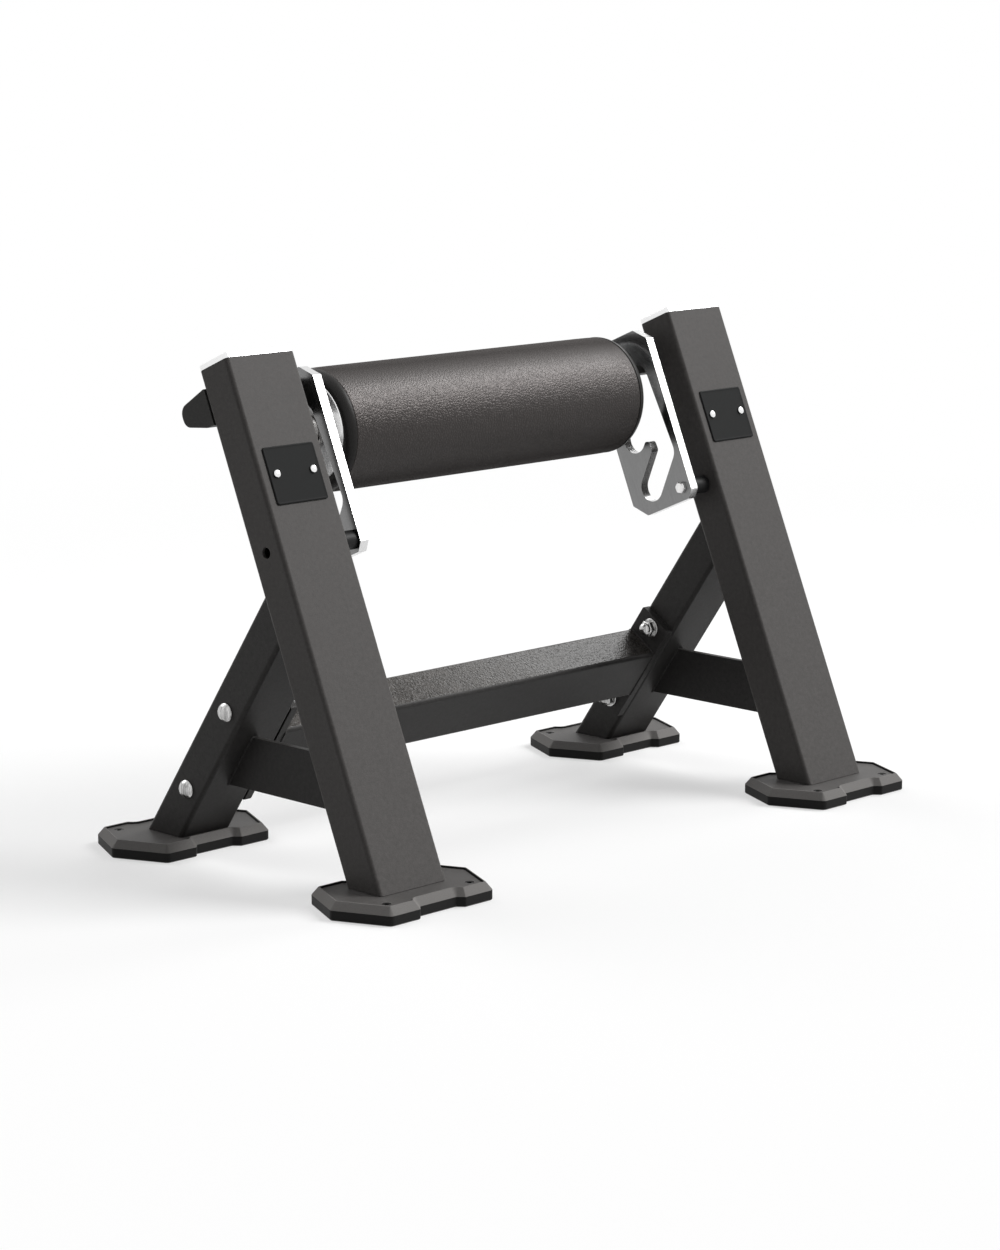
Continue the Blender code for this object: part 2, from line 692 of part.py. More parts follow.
def add_notch_plates(frames):
    """Slotted plates, each held by a bracket behind the post and a bolt through a spacer."""
    inner = -POST_WIDTH / 2
    plate_x = inner - PLATE_GAP - PLATE_THICKNESS / 2
    plate = flat_solid([plate_outline(), slot_outline()], PLATE_THICKNESS)
    lug_length = POST_WIDTH + PLATE_GAP - FIT
    lug = flat_solid([bracket_outline()], lug_length)
    spacer = flat_ring(SPACER_RADIUS, PLATE_BOLT_HOLE, PLATE_GAP - 2 * FIT, 18)
    bolt = plate_bolt_mesh()
    reach = POST_WIDTH / 2 + PLATE_GAP + 2 * PLATE_THICKNESS
    hole = cylinder(PLATE_BOLT_HOLE, reach, 18)
    access = cylinder(ACCESS_HOLE, POST_WIDTH, 18)
    for side, sign in SIDES.items():
        post_axis = frames[side][0]
        post = bpy.data.objects[f"{side}_post"]
        y, z = PLATE_BOLT
        notch_plate = place(f"{side}_notch_plate", plate, "notch_plate", post_axis,
                            (sign * plate_x, 0, 0), ON_EDGE)
        lug_x = -sign * (PLATE_GAP - FIT) / 2
        place(f"{side}_plate_bracket", lug, "bracket", post_axis, (lug_x, 0, 0), ON_EDGE)
        inwards = (0, -sign * pi / 2, 0)
        place(f"{side}_plate_spacer", spacer, "spacer", post_axis,
              (sign * (inner - PLATE_GAP / 2), y, z), inwards)
        seat = plate_x - PLATE_THICKNESS / 2 - FIT
        place(f"{side}_plate_bolt", bolt, "bolt", post_axis, (sign * seat, y, z), inwards)
        cut(f"{side}_plate_bolt_hole", hole, (notch_plate, post), post_axis,
            (-sign * reach / 2, y, z), inwards)
        cut(f"{side}_access_hole", access, (post,), post_axis, (sign * POST_WIDTH / 2, y, z),
            inwards)
        bevel(notch_plate, EDGE_BREAK)


# Roller

def pad_mesh():
    """Cushion round the core: crowned a little, its ends drawn in under the end rings."""
    half = ROLLER_HALF - RING_LENGTH - FIT
    edge = half - PAD_SHOULDER_LENGTH
    skin = []
    for index in range(5):
        height = edge - index * edge / 2
        skin.append((ROLLER_RADIUS - PAD_CROWN * (height / half) ** 2, height))
    top = [(ROLLER_RADIUS - inwards, half - down) for inwards, down in PAD_SHOULDER]
    bottom = [(radius, -height) for radius, height in reversed(top)]
    bore = CORE_RADIUS + FIT
    return turned_solid([(bore, half), *top, *skin, *bottom, (bore, -half)], closed=True,
                        segments=ROUND)


def end_ring_mesh():
    """Moulded ring at the roller's end, z outwards: a quarter round down to the disc in it."""
    length = RING_LENGTH - FIT
    disc_seat = length - DISC_THICKNESS
    bore = CORE_RADIUS + FIT
    drop = ROLLER_RADIUS - PAD_CROWN - RING_END_RADIUS
    angles = [(1 - index / RING_STEPS) * pi / 2 for index in range(RING_STEPS + 1)]
    shoulder = [(RING_END_RADIUS + drop * cos(angle), length * sin(angle)) for angle in angles]
    return turned_solid([(DISC_RADIUS + FIT, length), *shoulder, (bore, 0), (bore, disc_seat),
                         (DISC_RADIUS + FIT, disc_seat)], closed=True, segments=ROUND)


def add_roller(frames):
    """Axle in the notches, and on it the roller: bearings, core, pad, end rings and discs."""
    y, z = AXLE_SEAT
    rear = Vector((0, cos(POST_LEAN), -sin(POST_LEAN)))
    up = Vector((0, sin(POST_LEAN), cos(POST_LEAN)))
    middle = Vector((0, POST_FRONT, TUBE_FOOT)) + rear * y + up * z
    axis = empty("axle_axis", middle, (0, pi / 2, 0))
    plates = SPAN / 2 - POST_WIDTH / 2 - PLATE_GAP
    half = plates - FIT
    shoulder = plates - PLATE_THICKNESS - AXLE_PLAY
    axle_profile = [(0, half), (AXLE_RADIUS - AXLE_CHAMFER, half),
                    (AXLE_RADIUS, half - AXLE_CHAMFER), (AXLE_RADIUS, shoulder),
                    (AXLE_SHOULDER, shoulder)]
    axle_profile += [(radius, -height) for radius, height in reversed(axle_profile)]
    place("axle", turned_solid(axle_profile, segments=32), "axle", axis)

    core_half = ROLLER_HALF - DISC_THICKNESS - 2 * FIT
    core = turned_solid([(CORE_RADIUS, core_half), (CORE_RADIUS, -core_half),
                         (CORE_RADIUS - CORE_WALL, -core_half),
                         (CORE_RADIUS - CORE_WALL, core_half)], closed=True, segments=32)
    place("roller_core", core, "core", axis)
    place("roller_pad", pad_mesh(), "pad", axis)
    bore = AXLE_SHOULDER + FIT
    ring = end_ring_mesh()
    disc = flat_ring(DISC_RADIUS, bore + FIT, DISC_THICKNESS - FIT, ROUND)
    bearing = flat_ring(CORE_RADIUS - CORE_WALL - FIT, bore, BEARING_WIDTH, 32)
    for side, sign in SIDES.items():
        outwards = (0, 0, 0) if sign > 0 else (pi, 0, 0)
        place(f"{side}_end_ring", ring, "end_ring", axis,
              (0, 0, sign * (ROLLER_HALF - RING_LENGTH)), outwards)
        place(f"{side}_end_disc", disc, "end_disc", axis,
              (0, 0, sign * (ROLLER_HALF - DISC_THICKNESS / 2 + FIT / 2)))
        place(f"{side}_bearing", bearing, "bearing", axis,
              (0, 0, sign * (core_half - BEARING_SUNK - BEARING_WIDTH / 2)))


# Badges

def rivet_mesh():
    """Domed rivet along Z, the seat of its head at z = 0."""
    head = dome(RIVET_RADIUS, RIVET_RIM, RIVET_DOME, 3)
    return turned_solid(head + [(RIVET_RADIUS, 0), (RIVET_SHANK, 0), (RIVET_SHANK, -RIVET_LENGTH),
                                (0, -RIVET_LENGTH)], segments=12)


def add_badges(frames):
    """A bare badge plate, held by two rivets, on the front of each post."""
    badge = flat_solid([rounded(rectangle(BADGE_WIDTH, BADGE_HEIGHT, 0.003))], BADGE_THICKNESS)
    rivet = rivet_mesh()
    hole = cylinder(RIVET_SHANK + FIT, 4 * RIVET_LENGTH, 12)
    forward = (pi / 2, 0, 0)
    for side in SIDES:
        post_axis = frames[side][0]
        post = bpy.data.objects[f"{side}_post"]
        plate = place(f"{side}_badge", badge, "badge", post_axis,
                      (0, -FIT - BADGE_THICKNESS / 2, BADGE_UP), forward)
        for end, x in (("left", -RIVET_X), ("right", RIVET_X)):
            place(f"{side}_badge_{end}_rivet", rivet, "rivet", post_axis,
                  (x, -2 * FIT - BADGE_THICKNESS, RIVET_UP), forward)
            cut(f"{side}_badge_{end}_hole", hole, (plate, post), post_axis, (x, 0, RIVET_UP),
                forward)


def main():
    """Builds the bench."""
    frames = add_side_frames()
    add_feet()
    add_crossbar(frames)
    add_notch_plates(frames)
    add_roller(frames)
    add_badges(frames)
    bpy.context.view_layer.update()


main()
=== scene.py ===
"""Bulgarian split squat bench: its pieces, finishes, studio and camera.

Each sub-assembly is a class that holds its sizes, builds its meshes in the bench's own frame and
dresses them. Metres, +Z up, +X to the right, +Y to the rear, the floor at z = 0.
"""

import logging
from dataclasses import dataclass, field
from enum import Enum
from functools import cached_property
from itertools import product
from math import atan2, ceil, cos, pi, radians, sin, tan

import bmesh
import bpy
from bpy.types import ID, Material, Mesh, Node, NodeOutputs, NodeSocket, NodeTree, Object
from mathutils import Matrix, Vector


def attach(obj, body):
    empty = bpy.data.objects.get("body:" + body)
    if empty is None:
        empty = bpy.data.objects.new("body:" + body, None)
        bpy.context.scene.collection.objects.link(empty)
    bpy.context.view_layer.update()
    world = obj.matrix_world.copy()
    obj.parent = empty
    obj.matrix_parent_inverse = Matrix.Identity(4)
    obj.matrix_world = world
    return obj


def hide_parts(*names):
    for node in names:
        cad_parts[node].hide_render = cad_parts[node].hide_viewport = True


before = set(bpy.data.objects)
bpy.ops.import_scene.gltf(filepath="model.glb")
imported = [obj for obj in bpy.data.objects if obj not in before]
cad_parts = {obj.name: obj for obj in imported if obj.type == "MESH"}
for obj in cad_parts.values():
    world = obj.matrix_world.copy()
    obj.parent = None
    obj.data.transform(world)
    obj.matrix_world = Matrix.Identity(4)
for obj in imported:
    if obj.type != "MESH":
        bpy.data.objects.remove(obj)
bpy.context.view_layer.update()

LOG = logging.getLogger("split_squat_bench")
Triple = tuple[float, float, float]
Corner = Triple                        # x, y and the radius that rounds it
Colour = Triple
Outline = list[Vector]
Profile = list[tuple[float, float]]    # radius and height, or distance and height
Seams = list[tuple[Outline, bool]]     # a seam's points, and whether it closes on itself
SAME = 1e-6                            # points nearer than this are one
LEAST_RADIUS = 0.0015                  # of a corner that an inset tightens


class Place(Enum):
    """Where a piece is, as the sign of a coordinate and a word in piece names."""

    @property
    def word(self) -> str:
        """The place as piece names hold it."""
        return self.name.lower()


class Side(Place):
    """The two sides of the bench, as the sign of x."""

    LEFT = -1
    RIGHT = 1


class Row(Place):
    """The two rows of feet, as the sign of y."""

    FRONT = -1
    REAR = 1


# Outlines


def rounded(corners: list[Corner], step: float = radians(9)) -> Outline:
    """A closed outline through corners, each rounded by an arc of its own radius.

    Args:
        corners: The corners as (x, y, radius), in order.
        step: The largest turn between two points of an arc.

    Returns:
        The outline's points.
    """
    points: Outline = []
    for index, (x, y, radius) in enumerate(corners):
        corner = Vector((x, y))
        back = (Vector(corners[index - 1][:2]) - corner).normalized()
        ahead = (Vector(corners[(index + 1) % len(corners)][:2]) - corner).normalized()
        half = back.angle(ahead) / 2
        centre = corner + (back + ahead).normalized() * radius / sin(half)
        spoke = corner + back * radius / tan(half) - centre
        turn = pi - 2 * half
        if back.x * ahead.y - back.y * ahead.x > 0:
            turn = -turn
        steps = max(2, ceil(abs(turn) / step))
        for count in range(steps + 1):
            point = centre + Matrix.Rotation(turn * count / steps, 2) @ spoke
            if not points or (point - points[-1]).length > SAME:
                points.append(point)
    if (points[0] - points[-1]).length < SAME:
        points.pop()
    return points


def rectangle(width: float, height: float, radius: float) -> list[Corner]:
    """Corners of a centred rectangle, for rounded()."""
    x, y = width / 2, height / 2
    return [(sx * x, sy * y, radius) for sx, sy in ((1, 1), (-1, 1), (-1, -1), (1, -1))]


def arc(width: float, rise: float, step: float, count: int,
        centre: tuple[float, float]) -> Profile:
    """Points of a rounded shoulder, from its top outwards and down.

    Args:
        width: Its radius outwards.
        rise: Its radius upwards.
        step: The angle from one point to the next.
        count: How many points it has.
        centre: Its centre's radius and height.

    Returns:
        The points.
    """
    return [(centre[0] + width * sin(index * step), centre[1] + rise * cos(index * step))
            for index in range(count)]


def mirrored(profile: Profile) -> Profile:
    """A profile's lower half, from its upper one."""
    return [(radius, -height) for radius, height in reversed(profile)]


def meeting(point: Vector, way: Vector, other: Vector, other_way: Vector) -> Vector:
    """Where two lines in a plane cross.

    Args:
        point: A point of the first line.
        way: The first line's direction.
        other: A point of the second line.
        other_way: The second line's direction.

    Returns:
        The crossing.
    """
    gap = other - point
    cross = way.x * other_way.y - way.y * other_way.x
    return point + way * (gap.x * other_way.y - gap.y * other_way.x) / cross


def inset(corners: list[Corner], distance: float) -> list[Corner]:
    """The corners of an anticlockwise outline, moved inwards.

    Args:
        corners: The corners as (x, y, radius).
        distance: How far every edge moves.

    Returns:
        The moved corners, their radii changed to suit.
    """
    moved = []
    for index, (x, y, radius) in enumerate(corners):
        here = Vector((x, y))
        come = (here - Vector(corners[index - 1][:2])).normalized()
        go = (Vector(corners[(index + 1) % len(corners)][:2]) - here).normalized()
        on_come = here + Vector((-come.y, come.x)) * distance
        on_go = here + Vector((-go.y, go.x)) * distance
        convex = come.x * go.y - come.y * go.x > 0
        changed = max(radius - distance, LEAST_RADIUS) if convex else radius + distance
        moved.append((*meeting(on_come, come, on_go, go), changed))
    return moved


# Meshes


def linked(name: str, data: ID) -> Object:
    """Puts something in the scene.

    Args:
        name: Its name.
        data: Its mesh, curve, light or camera.

    Returns:
        Its object.
    """
    holder = bpy.data.objects.new(name, data)
    bpy.context.scene.collection.objects.link(holder)
    return holder


def mesh_of(shape: bmesh.types.BMesh, name: str) -> Mesh:
    """The mesh that a bmesh holds, which is then freed.

    Args:
        shape: The bmesh.
        name: The mesh's name.

    Returns:
        The mesh.
    """
    mesh = bpy.data.meshes.new(name)
    shape.to_mesh(mesh)
    shape.free()
    return mesh


def neighbours(loops: list, ring: bool) -> list[tuple]:
    """Each loop with the next one, and in a ring also the last with the first."""
    return list(zip(loops, loops[1:] + loops[:1] if ring else loops[1:]))


def lofted(sections: list[Outline], ring: bool = False) -> Mesh:
    """A closed solid through loops of equal count.

    Args:
        sections: The loops, from one end to the other.
        ring: Whether the last loop joins the first, as in a tube, or both are capped.

    Returns:
        The solid's mesh, its faces outwards.
    """
    shape = bmesh.new()
    loops = [[shape.verts.new(point) for point in section] for section in sections]
    for loop, following in neighbours(loops, ring):
        for index in range(len(loop)):
            shape.faces.new((loop[index - 1], loop[index], following[index], following[index - 1]))
    if not ring:
        shape.faces.new(loops[0])
        shape.faces.new(loops[-1])
    bmesh.ops.recalc_face_normals(shape, faces=shape.faces)
    return mesh_of(shape, "loft")


def stacked(corners: list[Corner], steps: Profile) -> Mesh:
    """A solid through one outline, moved inwards by each step's distance at its height."""
    return lofted([[Vector((x, y, height)) for x, y in rounded(inset(corners, distance))]
                   for distance, height in steps])


def turned(profile: Profile, segments: int = 64, ring: bool = False) -> Mesh:
    """A solid turned about Z.

    Args:
        profile: Its (radius, height) points; a radius of 0 is a pole.
        segments: Its sides.
        ring: Whether the profile is a closed one that stays off the axis.

    Returns:
        The solid's mesh, its faces outwards.
    """
    shape = bmesh.new()
    loops = []
    for radius, height in profile:
        if radius < SAME:
            loops.append([shape.verts.new((0, 0, height))])
            continue
        angles = [2 * pi * index / segments for index in range(segments)]
        loops.append([shape.verts.new((radius * cos(a), radius * sin(a), height)) for a in angles])
    for first, second in neighbours(loops, ring):
        for index in range(segments):
            corners = [first[(index - 1) % len(first)], first[index % len(first)],
                       second[index % len(second)], second[(index - 1) % len(second)]]
            unique = list(dict.fromkeys(corners))
            if len(unique) > 2:
                shape.faces.new(unique)
    bmesh.ops.recalc_face_normals(shape, faces=shape.faces)
    return mesh_of(shape, "turned")


def drill(radius: float, low: float, high: float) -> Mesh:
    """What a drill along Z takes away between two heights."""
    return turned([(0, low), (radius, low), (radius, high), (0, high)], 48)


def flat(outlines: list[Outline], thickness: float) -> Mesh:
    """A flat solid in XY, half of it above.

    Args:
        outlines: Its outer outline, and those of its holes.
        thickness: Along Z.

    Returns:
        The solid's mesh, its faces outwards.
    """
    curve = bpy.data.curves.new("outline", "CURVE")
    curve.dimensions = "2D"
    curve.fill_mode = "BOTH"
    curve.extrude = thickness / 2
    for outline in outlines:
        spline = curve.splines.new("POLY")
        spline.points.add(len(outline) - 1)
        for point, (x, y) in zip(spline.points, outline):
            point.co = (x, y, 0, 1)
        spline.use_cyclic_u = True
    shape = bmesh.new()
    shape.from_mesh(evaluated(linked("outline", curve)))
    bmesh.ops.remove_doubles(shape, verts=shape.verts, dist=SAME)
    bmesh.ops.recalc_face_normals(shape, faces=shape.faces)
    return mesh_of(shape, "flat")


def evaluated(holder: Object) -> Mesh:
    """Applies an object's modifiers.

    Args:
        holder: The object, which is then removed.

    Returns:
        The mesh that they make.
    """
    graph = bpy.context.evaluated_depsgraph_get()
    mesh = bpy.data.meshes.new_from_object(holder.evaluated_get(graph))
    bpy.data.objects.remove(holder)
    return mesh


def hexagonal(mesh: Mesh, apothem: float) -> Mesh:
    """Makes a turned solid's bands of one radius six-sided.

    Args:
        mesh: The solid, which is changed.
        apothem: The bands' radius, half the hexagon's width across its flats.

    Returns:
        The solid.
    """
    for vertex in mesh.vertices:
        if abs(vertex.co.xy.length - apothem) < SAME:
            angle = atan2(vertex.co.y, vertex.co.x) % (pi / 3) - pi / 6
            vertex.co.x /= cos(angle)
            vertex.co.y /= cos(angle)
    return mesh


# Pieces


@dataclass(frozen=True)
class Seat:
    """What a piece is and stands for in the bench."""

    name: str
    slot: str
    nodes: tuple[str, ...]
    body: str = "frame"


def seat_at(place: str, name: str, slot: str, node: str, body: str = "frame") -> Seat:
    """The seat of a piece that stands for one node, both named after their place."""
    return Seat(f"{place}_{name}", slot, (f"{place}_{node}",), body)


@dataclass(frozen=True)
class Edge:
    """How a piece's edges are rounded."""

    width: float
    segments: int = 3
    angle: float = radians(40)         # the least that an edge turns to be rounded


TUBE_EDGE = Edge(0.0005, 2, radians(50))
BAR_EDGE = Edge(0.0010)
FASTENER_EDGE = Edge(0.0003, 2, radians(38))
SHARP = radians(35)                    # what an edge turns to be shaded as sharp


@dataclass(frozen=True)
class Trim:
    """A second finish, for the faces that look along an axis less than a limit."""

    finish: "Finish"
    axis: int
    limit: float

    def covers(self, normal: Vector) -> bool:
        """Whether a face with this normal has the second finish."""
        return abs(normal[self.axis]) < self.limit


def settle(seat: Seat, mesh: Mesh, finish: "Finish", edge: Edge | None,
           place: Matrix = Matrix(), holes: list[Mesh] | None = None,
           trim: Trim | None = None) -> Object:
    """Puts a finished piece in the bench.

    Args:
        seat: Its name, its body and the nodes that it stands for.
        mesh: Its mesh.
        finish: Its finish.
        edge: How its edges are rounded, or None for a mesh that has its rounding.
        place: Where the mesh goes.
        holes: Solids in the bench's frame that are cut out of it.
        trim: A second finish for some of its faces.

    Returns:
        The piece, at the origin with its place in its mesh.
    """
    mesh.transform(place)
    holder = linked("holder", mesh)
    cutters = [linked("cutter", hole) for hole in holes or []]
    for cutter in cutters:
        cut = holder.modifiers.new("hole", "BOOLEAN")
        cut.object = cutter
        cut.operation = "DIFFERENCE"
        cut.solver = "EXACT"
    if edge:
        rounding = holder.modifiers.new("edges", "BEVEL")
        rounding.width = edge.width
        rounding.segments = edge.segments
        rounding.limit_method = "ANGLE"
        rounding.angle_limit = edge.angle
        rounding.use_clamp_overlap = True
    mesh = evaluated(holder)
    mesh.shade_smooth()
    mesh.set_sharp_from_angle(angle=SHARP)
    for cutter in cutters:
        bpy.data.objects.remove(cutter)
    holder = linked("holder", mesh)
    holder.modifiers.new("even", "WEIGHTED_NORMAL").keep_sharp = True
    piece = linked(seat.name, evaluated(holder))
    piece.data.name = seat.name
    piece.data.materials.clear()
    piece.data.materials.append(finish.material())
    if trim:
        piece.data.materials.append(trim.finish.material())
    for polygon in piece.data.polygons:
        polygon.material_index = int(bool(trim) and trim.covers(polygon.normal))
    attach(piece, seat.body)
    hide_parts(*seat.nodes)
    LOG.info("%s: %d faces, on %s", seat.name, len(piece.data.polygons), seat.body)
    return piece


# Node trees


class Graph:
    """Adds nodes to a node tree, their inputs and settings given by name."""

    def __init__(self, tree: NodeTree) -> None:
        """Takes the tree that it adds to."""
        self.tree = tree

    def feed(self, node: Node, inputs: dict) -> None:
        """Gives a node its inputs.

        Args:
            node: The node.
            inputs: A value or another node's output for each input, by name or number.
        """
        for name, value in inputs.items():
            if isinstance(value, NodeSocket):
                self.tree.links.new(value, node.inputs[name])
            else:
                node.inputs[name].default_value = value

    def add(self, kind: str, inputs: dict | None = None, **settings: object) -> Node:
        """A new node.

        Args:
            kind: Its type.
            inputs: Its inputs, as feed() takes them.
            settings: Its other settings.

        Returns:
            The node.
        """
        node = self.tree.nodes.new(kind)
        for name, value in settings.items():
            setattr(node, name, value)
        self.feed(node, inputs or {})
        return node

    def math(self, operation: str, *values: float | NodeSocket) -> NodeSocket:
        """The result of a sum on two values."""
        return self.add("ShaderNodeMath", dict(enumerate(values)), operation=operation).outputs[0]

    def plus(self, *values: float | NodeSocket) -> NodeSocket:
        """Two values added."""
        return self.math("ADD", *values)

    def times(self, *values: float | NodeSocket) -> NodeSocket:
        """Two values multiplied."""
        return self.math("MULTIPLY", *values)

    def vector(self, operation: str, *values: object) -> NodeSocket:
        """The result of a sum on vectors: a vector, or a number where the sum gives one."""
        node = self.add("ShaderNodeVectorMath", dict(enumerate(values)), operation=operation)
        return node.outputs[int(operation in ("DOT_PRODUCT", "LENGTH"))]

    def spread(self, value: NodeSocket, low: float, high: float,
               start: float = 0.0, end: float = 1.0) -> NodeSocket:
        """A value mapped from start and end to low and high, and held between them."""
        return self.add("ShaderNodeMapRange", {"Value": value, "From Min": start, "From Max": end,
                                               "To Min": low, "To Max": high}).outputs[0]

    def blend(self, share: NodeSocket, first: object, second: object) -> NodeSocket:
        """A colour between two others."""
        return self.add("ShaderNodeMix", {0: share, 6: first, 7: second},
                        data_type="RGBA").outputs[2]

    def noise(self, where: NodeSocket, scale: float | NodeSocket, detail: float = 3.0,
              roughness: float = 0.55) -> NodeSocket:
        """Even noise over a place."""
        return self.add("ShaderNodeTexNoise", {"Vector": where, "Scale": scale, "Detail": detail,
                                               "Roughness": roughness}).outputs[0]

    def cells(self, where: NodeSocket, scale: NodeSocket, feature: str = "F1") -> NodeSocket:
        """The distance from the middles or the edges of uneven cells over a place."""
        return self.add("ShaderNodeTexVoronoi", {"Vector": where, "Scale": scale},
                        feature=feature).outputs["Distance"]


class Group(Graph):
    """The graph of a new node group."""

    def __init__(self, kind: str, name: str, inputs: dict[str, str],
                 outputs: dict[str, str]) -> None:
        """Makes the group.

        Args:
            kind: Shader or Geometry.
            name: Its name.
            inputs: Each input's type, by name.
            outputs: Each output's type, by name.
        """
        super().__init__(bpy.data.node_groups.new(name, f"{kind}NodeTree"))
        for way, sockets in (("INPUT", inputs), ("OUTPUT", outputs)):
            for label, sort in sockets.items():
                self.tree.interface.new_socket(label, in_out=way, socket_type=f"NodeSocket{sort}")
        self.given = self.add("NodeGroupInput").outputs
        self.end = self.add("NodeGroupOutput")

    def close(self, **values: NodeSocket) -> NodeTree:
        """Gives the group's outputs their values and returns its tree."""
        self.feed(self.end, values)
        return self.tree


class Effects:
    """The node groups that several finishes share, each built when it is first asked for."""

    def begin(self, name: str, *outputs: str) -> tuple[Group, NodeSocket, NodeSocket]:
        """A new effect, sized by the length that one of its grains takes.

        Args:
            name: Its name.
            outputs: The names of its values.

        Returns:
            Its graph, the place that it is given and its scale.
        """
        group = Group("Shader", name, {"Vector": "Vector", "Size": "Float"},
                      dict.fromkeys(outputs, "Float"))
        return group, group.given["Vector"], group.math("DIVIDE", 1.0, group.given["Size"])

    @cached_property
    def powder(self) -> NodeTree:
        """Baked powder: fine rounded grains on a slow orange peel."""
        group, where, scale = self.begin("powder grain", "Mask", "Height")
        fine = group.noise(where, scale, 2.0, 0.6)
        slow = group.noise(where, group.times(scale, 0.22), 2.0)
        grains = group.spread(group.cells(where, group.times(scale, 0.8)), 1.0, 0.0, 0.05, 0.55)
        mixed = group.plus(group.times(fine, 0.6), group.times(slow, 0.4))
        return group.close(Mask=group.spread(mixed, 0.0, 1.0, 0.34, 0.66),
                           Height=group.plus(group.times(grains, 0.35), mixed))

    @cached_property
    def leather(self) -> NodeTree:
        """Leather: uneven pebbles with creases between them."""
        group, where, scale = self.begin("leather grain", "Mask", "Height")
        warp = group.add("ShaderNodeTexNoise", {"Vector": where, "Scale": group.times(scale, 0.45),
                                                "Detail": 2.0}).outputs["Color"]
        bent = group.vector("ADD", where, group.vector("MULTIPLY", warp, (0.0022,) * 3))
        pebbles = group.cells(bent, scale, "DISTANCE_TO_EDGE")
        small = group.cells(bent, group.times(scale, 2.3), "DISTANCE_TO_EDGE")
        mask = group.plus(group.times(group.spread(pebbles, 0.0, 1.0, 0.0, 0.28), 0.75),
                          group.spread(small, 0.0, 0.25, 0.0, 0.3))
        pores = group.noise(where, group.times(scale, 3.0), 2.0, 0.7)
        return group.close(Mask=mask, Height=group.plus(mask, group.times(pores, 0.18)))

    @cached_property
    def brushed(self) -> NodeTree:
        """Ground and polished metal: fine lines along local Z over a faint waviness."""
        group, where, scale = self.begin("brushed lines", "Mask", "Height")
        lines = group.noise(group.vector("MULTIPLY", where, (1.0, 1.0, 0.02)), scale, 3.0, 0.65)
        waves = group.noise(where, group.times(scale, 0.02), 1.0)
        return group.close(Mask=group.spread(lines, 0.0, 1.0, 0.3, 0.7),
                           Height=group.plus(group.times(lines, 0.4), waves))

    @cached_property
    def moulded(self) -> NodeTree:
        """Moulded rubber and plastic: an even spark-eroded stipple."""
        group, where, scale = self.begin("moulded stipple", "Mask", "Height")
        dots = group.spread(group.cells(where, scale, "SMOOTH_F1"), 1.0, 0.0, 0.05, 0.6)
        fine = group.noise(where, scale, 3.0, 0.6)
        mask = group.plus(group.times(dots, 0.5), group.times(fine, 0.5))
        return group.close(Mask=mask, Height=mask)

    @cached_property
    def handling(self) -> NodeTree:
        """Slow unevenness and faint smudges that handling and dust leave."""
        group, where, scale = self.begin("handling", "Mask")
        slow = group.noise(where, scale, 4.0, 0.6)
        streaks = group.noise(where, group.times(scale, 3.5), 5.0, 0.7)
        return group.close(Mask=group.times(group.spread(slow, 0.0, 1.0, 0.35, 0.7),
                                            group.spread(streaks, 0.35, 1.0, 0.35, 0.65)))

    @cached_property
    def wear(self) -> NodeTree:
        """Edges rubbed through: where the rounded normal leaves the true one, broken up."""
        group = Group("Shader", "edge wear", {"Vector": "Vector", "Amount": "Float"},
                      {"Mask": "Float"})
        soft = group.add("ShaderNodeBevel", {"Radius": 0.0015}, samples=4).outputs[0]
        true = group.add("ShaderNodeNewGeometry").outputs["Normal"]
        edge = group.spread(group.vector("DOT_PRODUCT", soft, true), 1.0, 0.0, 0.90, 0.995)
        patches = group.noise(group.given["Vector"], 260.0, 4.0, 0.7)
        mask = group.times(edge, group.spread(patches, 0.0, 1.0, 0.42, 0.66))
        return group.close(Mask=group.times(mask, group.given["Amount"]))


EFFECTS = Effects()


class Surface(Enum):
    """The grain that a finish has, as the name of its effect."""

    POWDER = "powder"
    LEATHER = "leather"
    BRUSHED = "brushed"
    MOULDED = "moulded"


# Finishes


SMUDGE = 0.09                          # size of what handling leaves


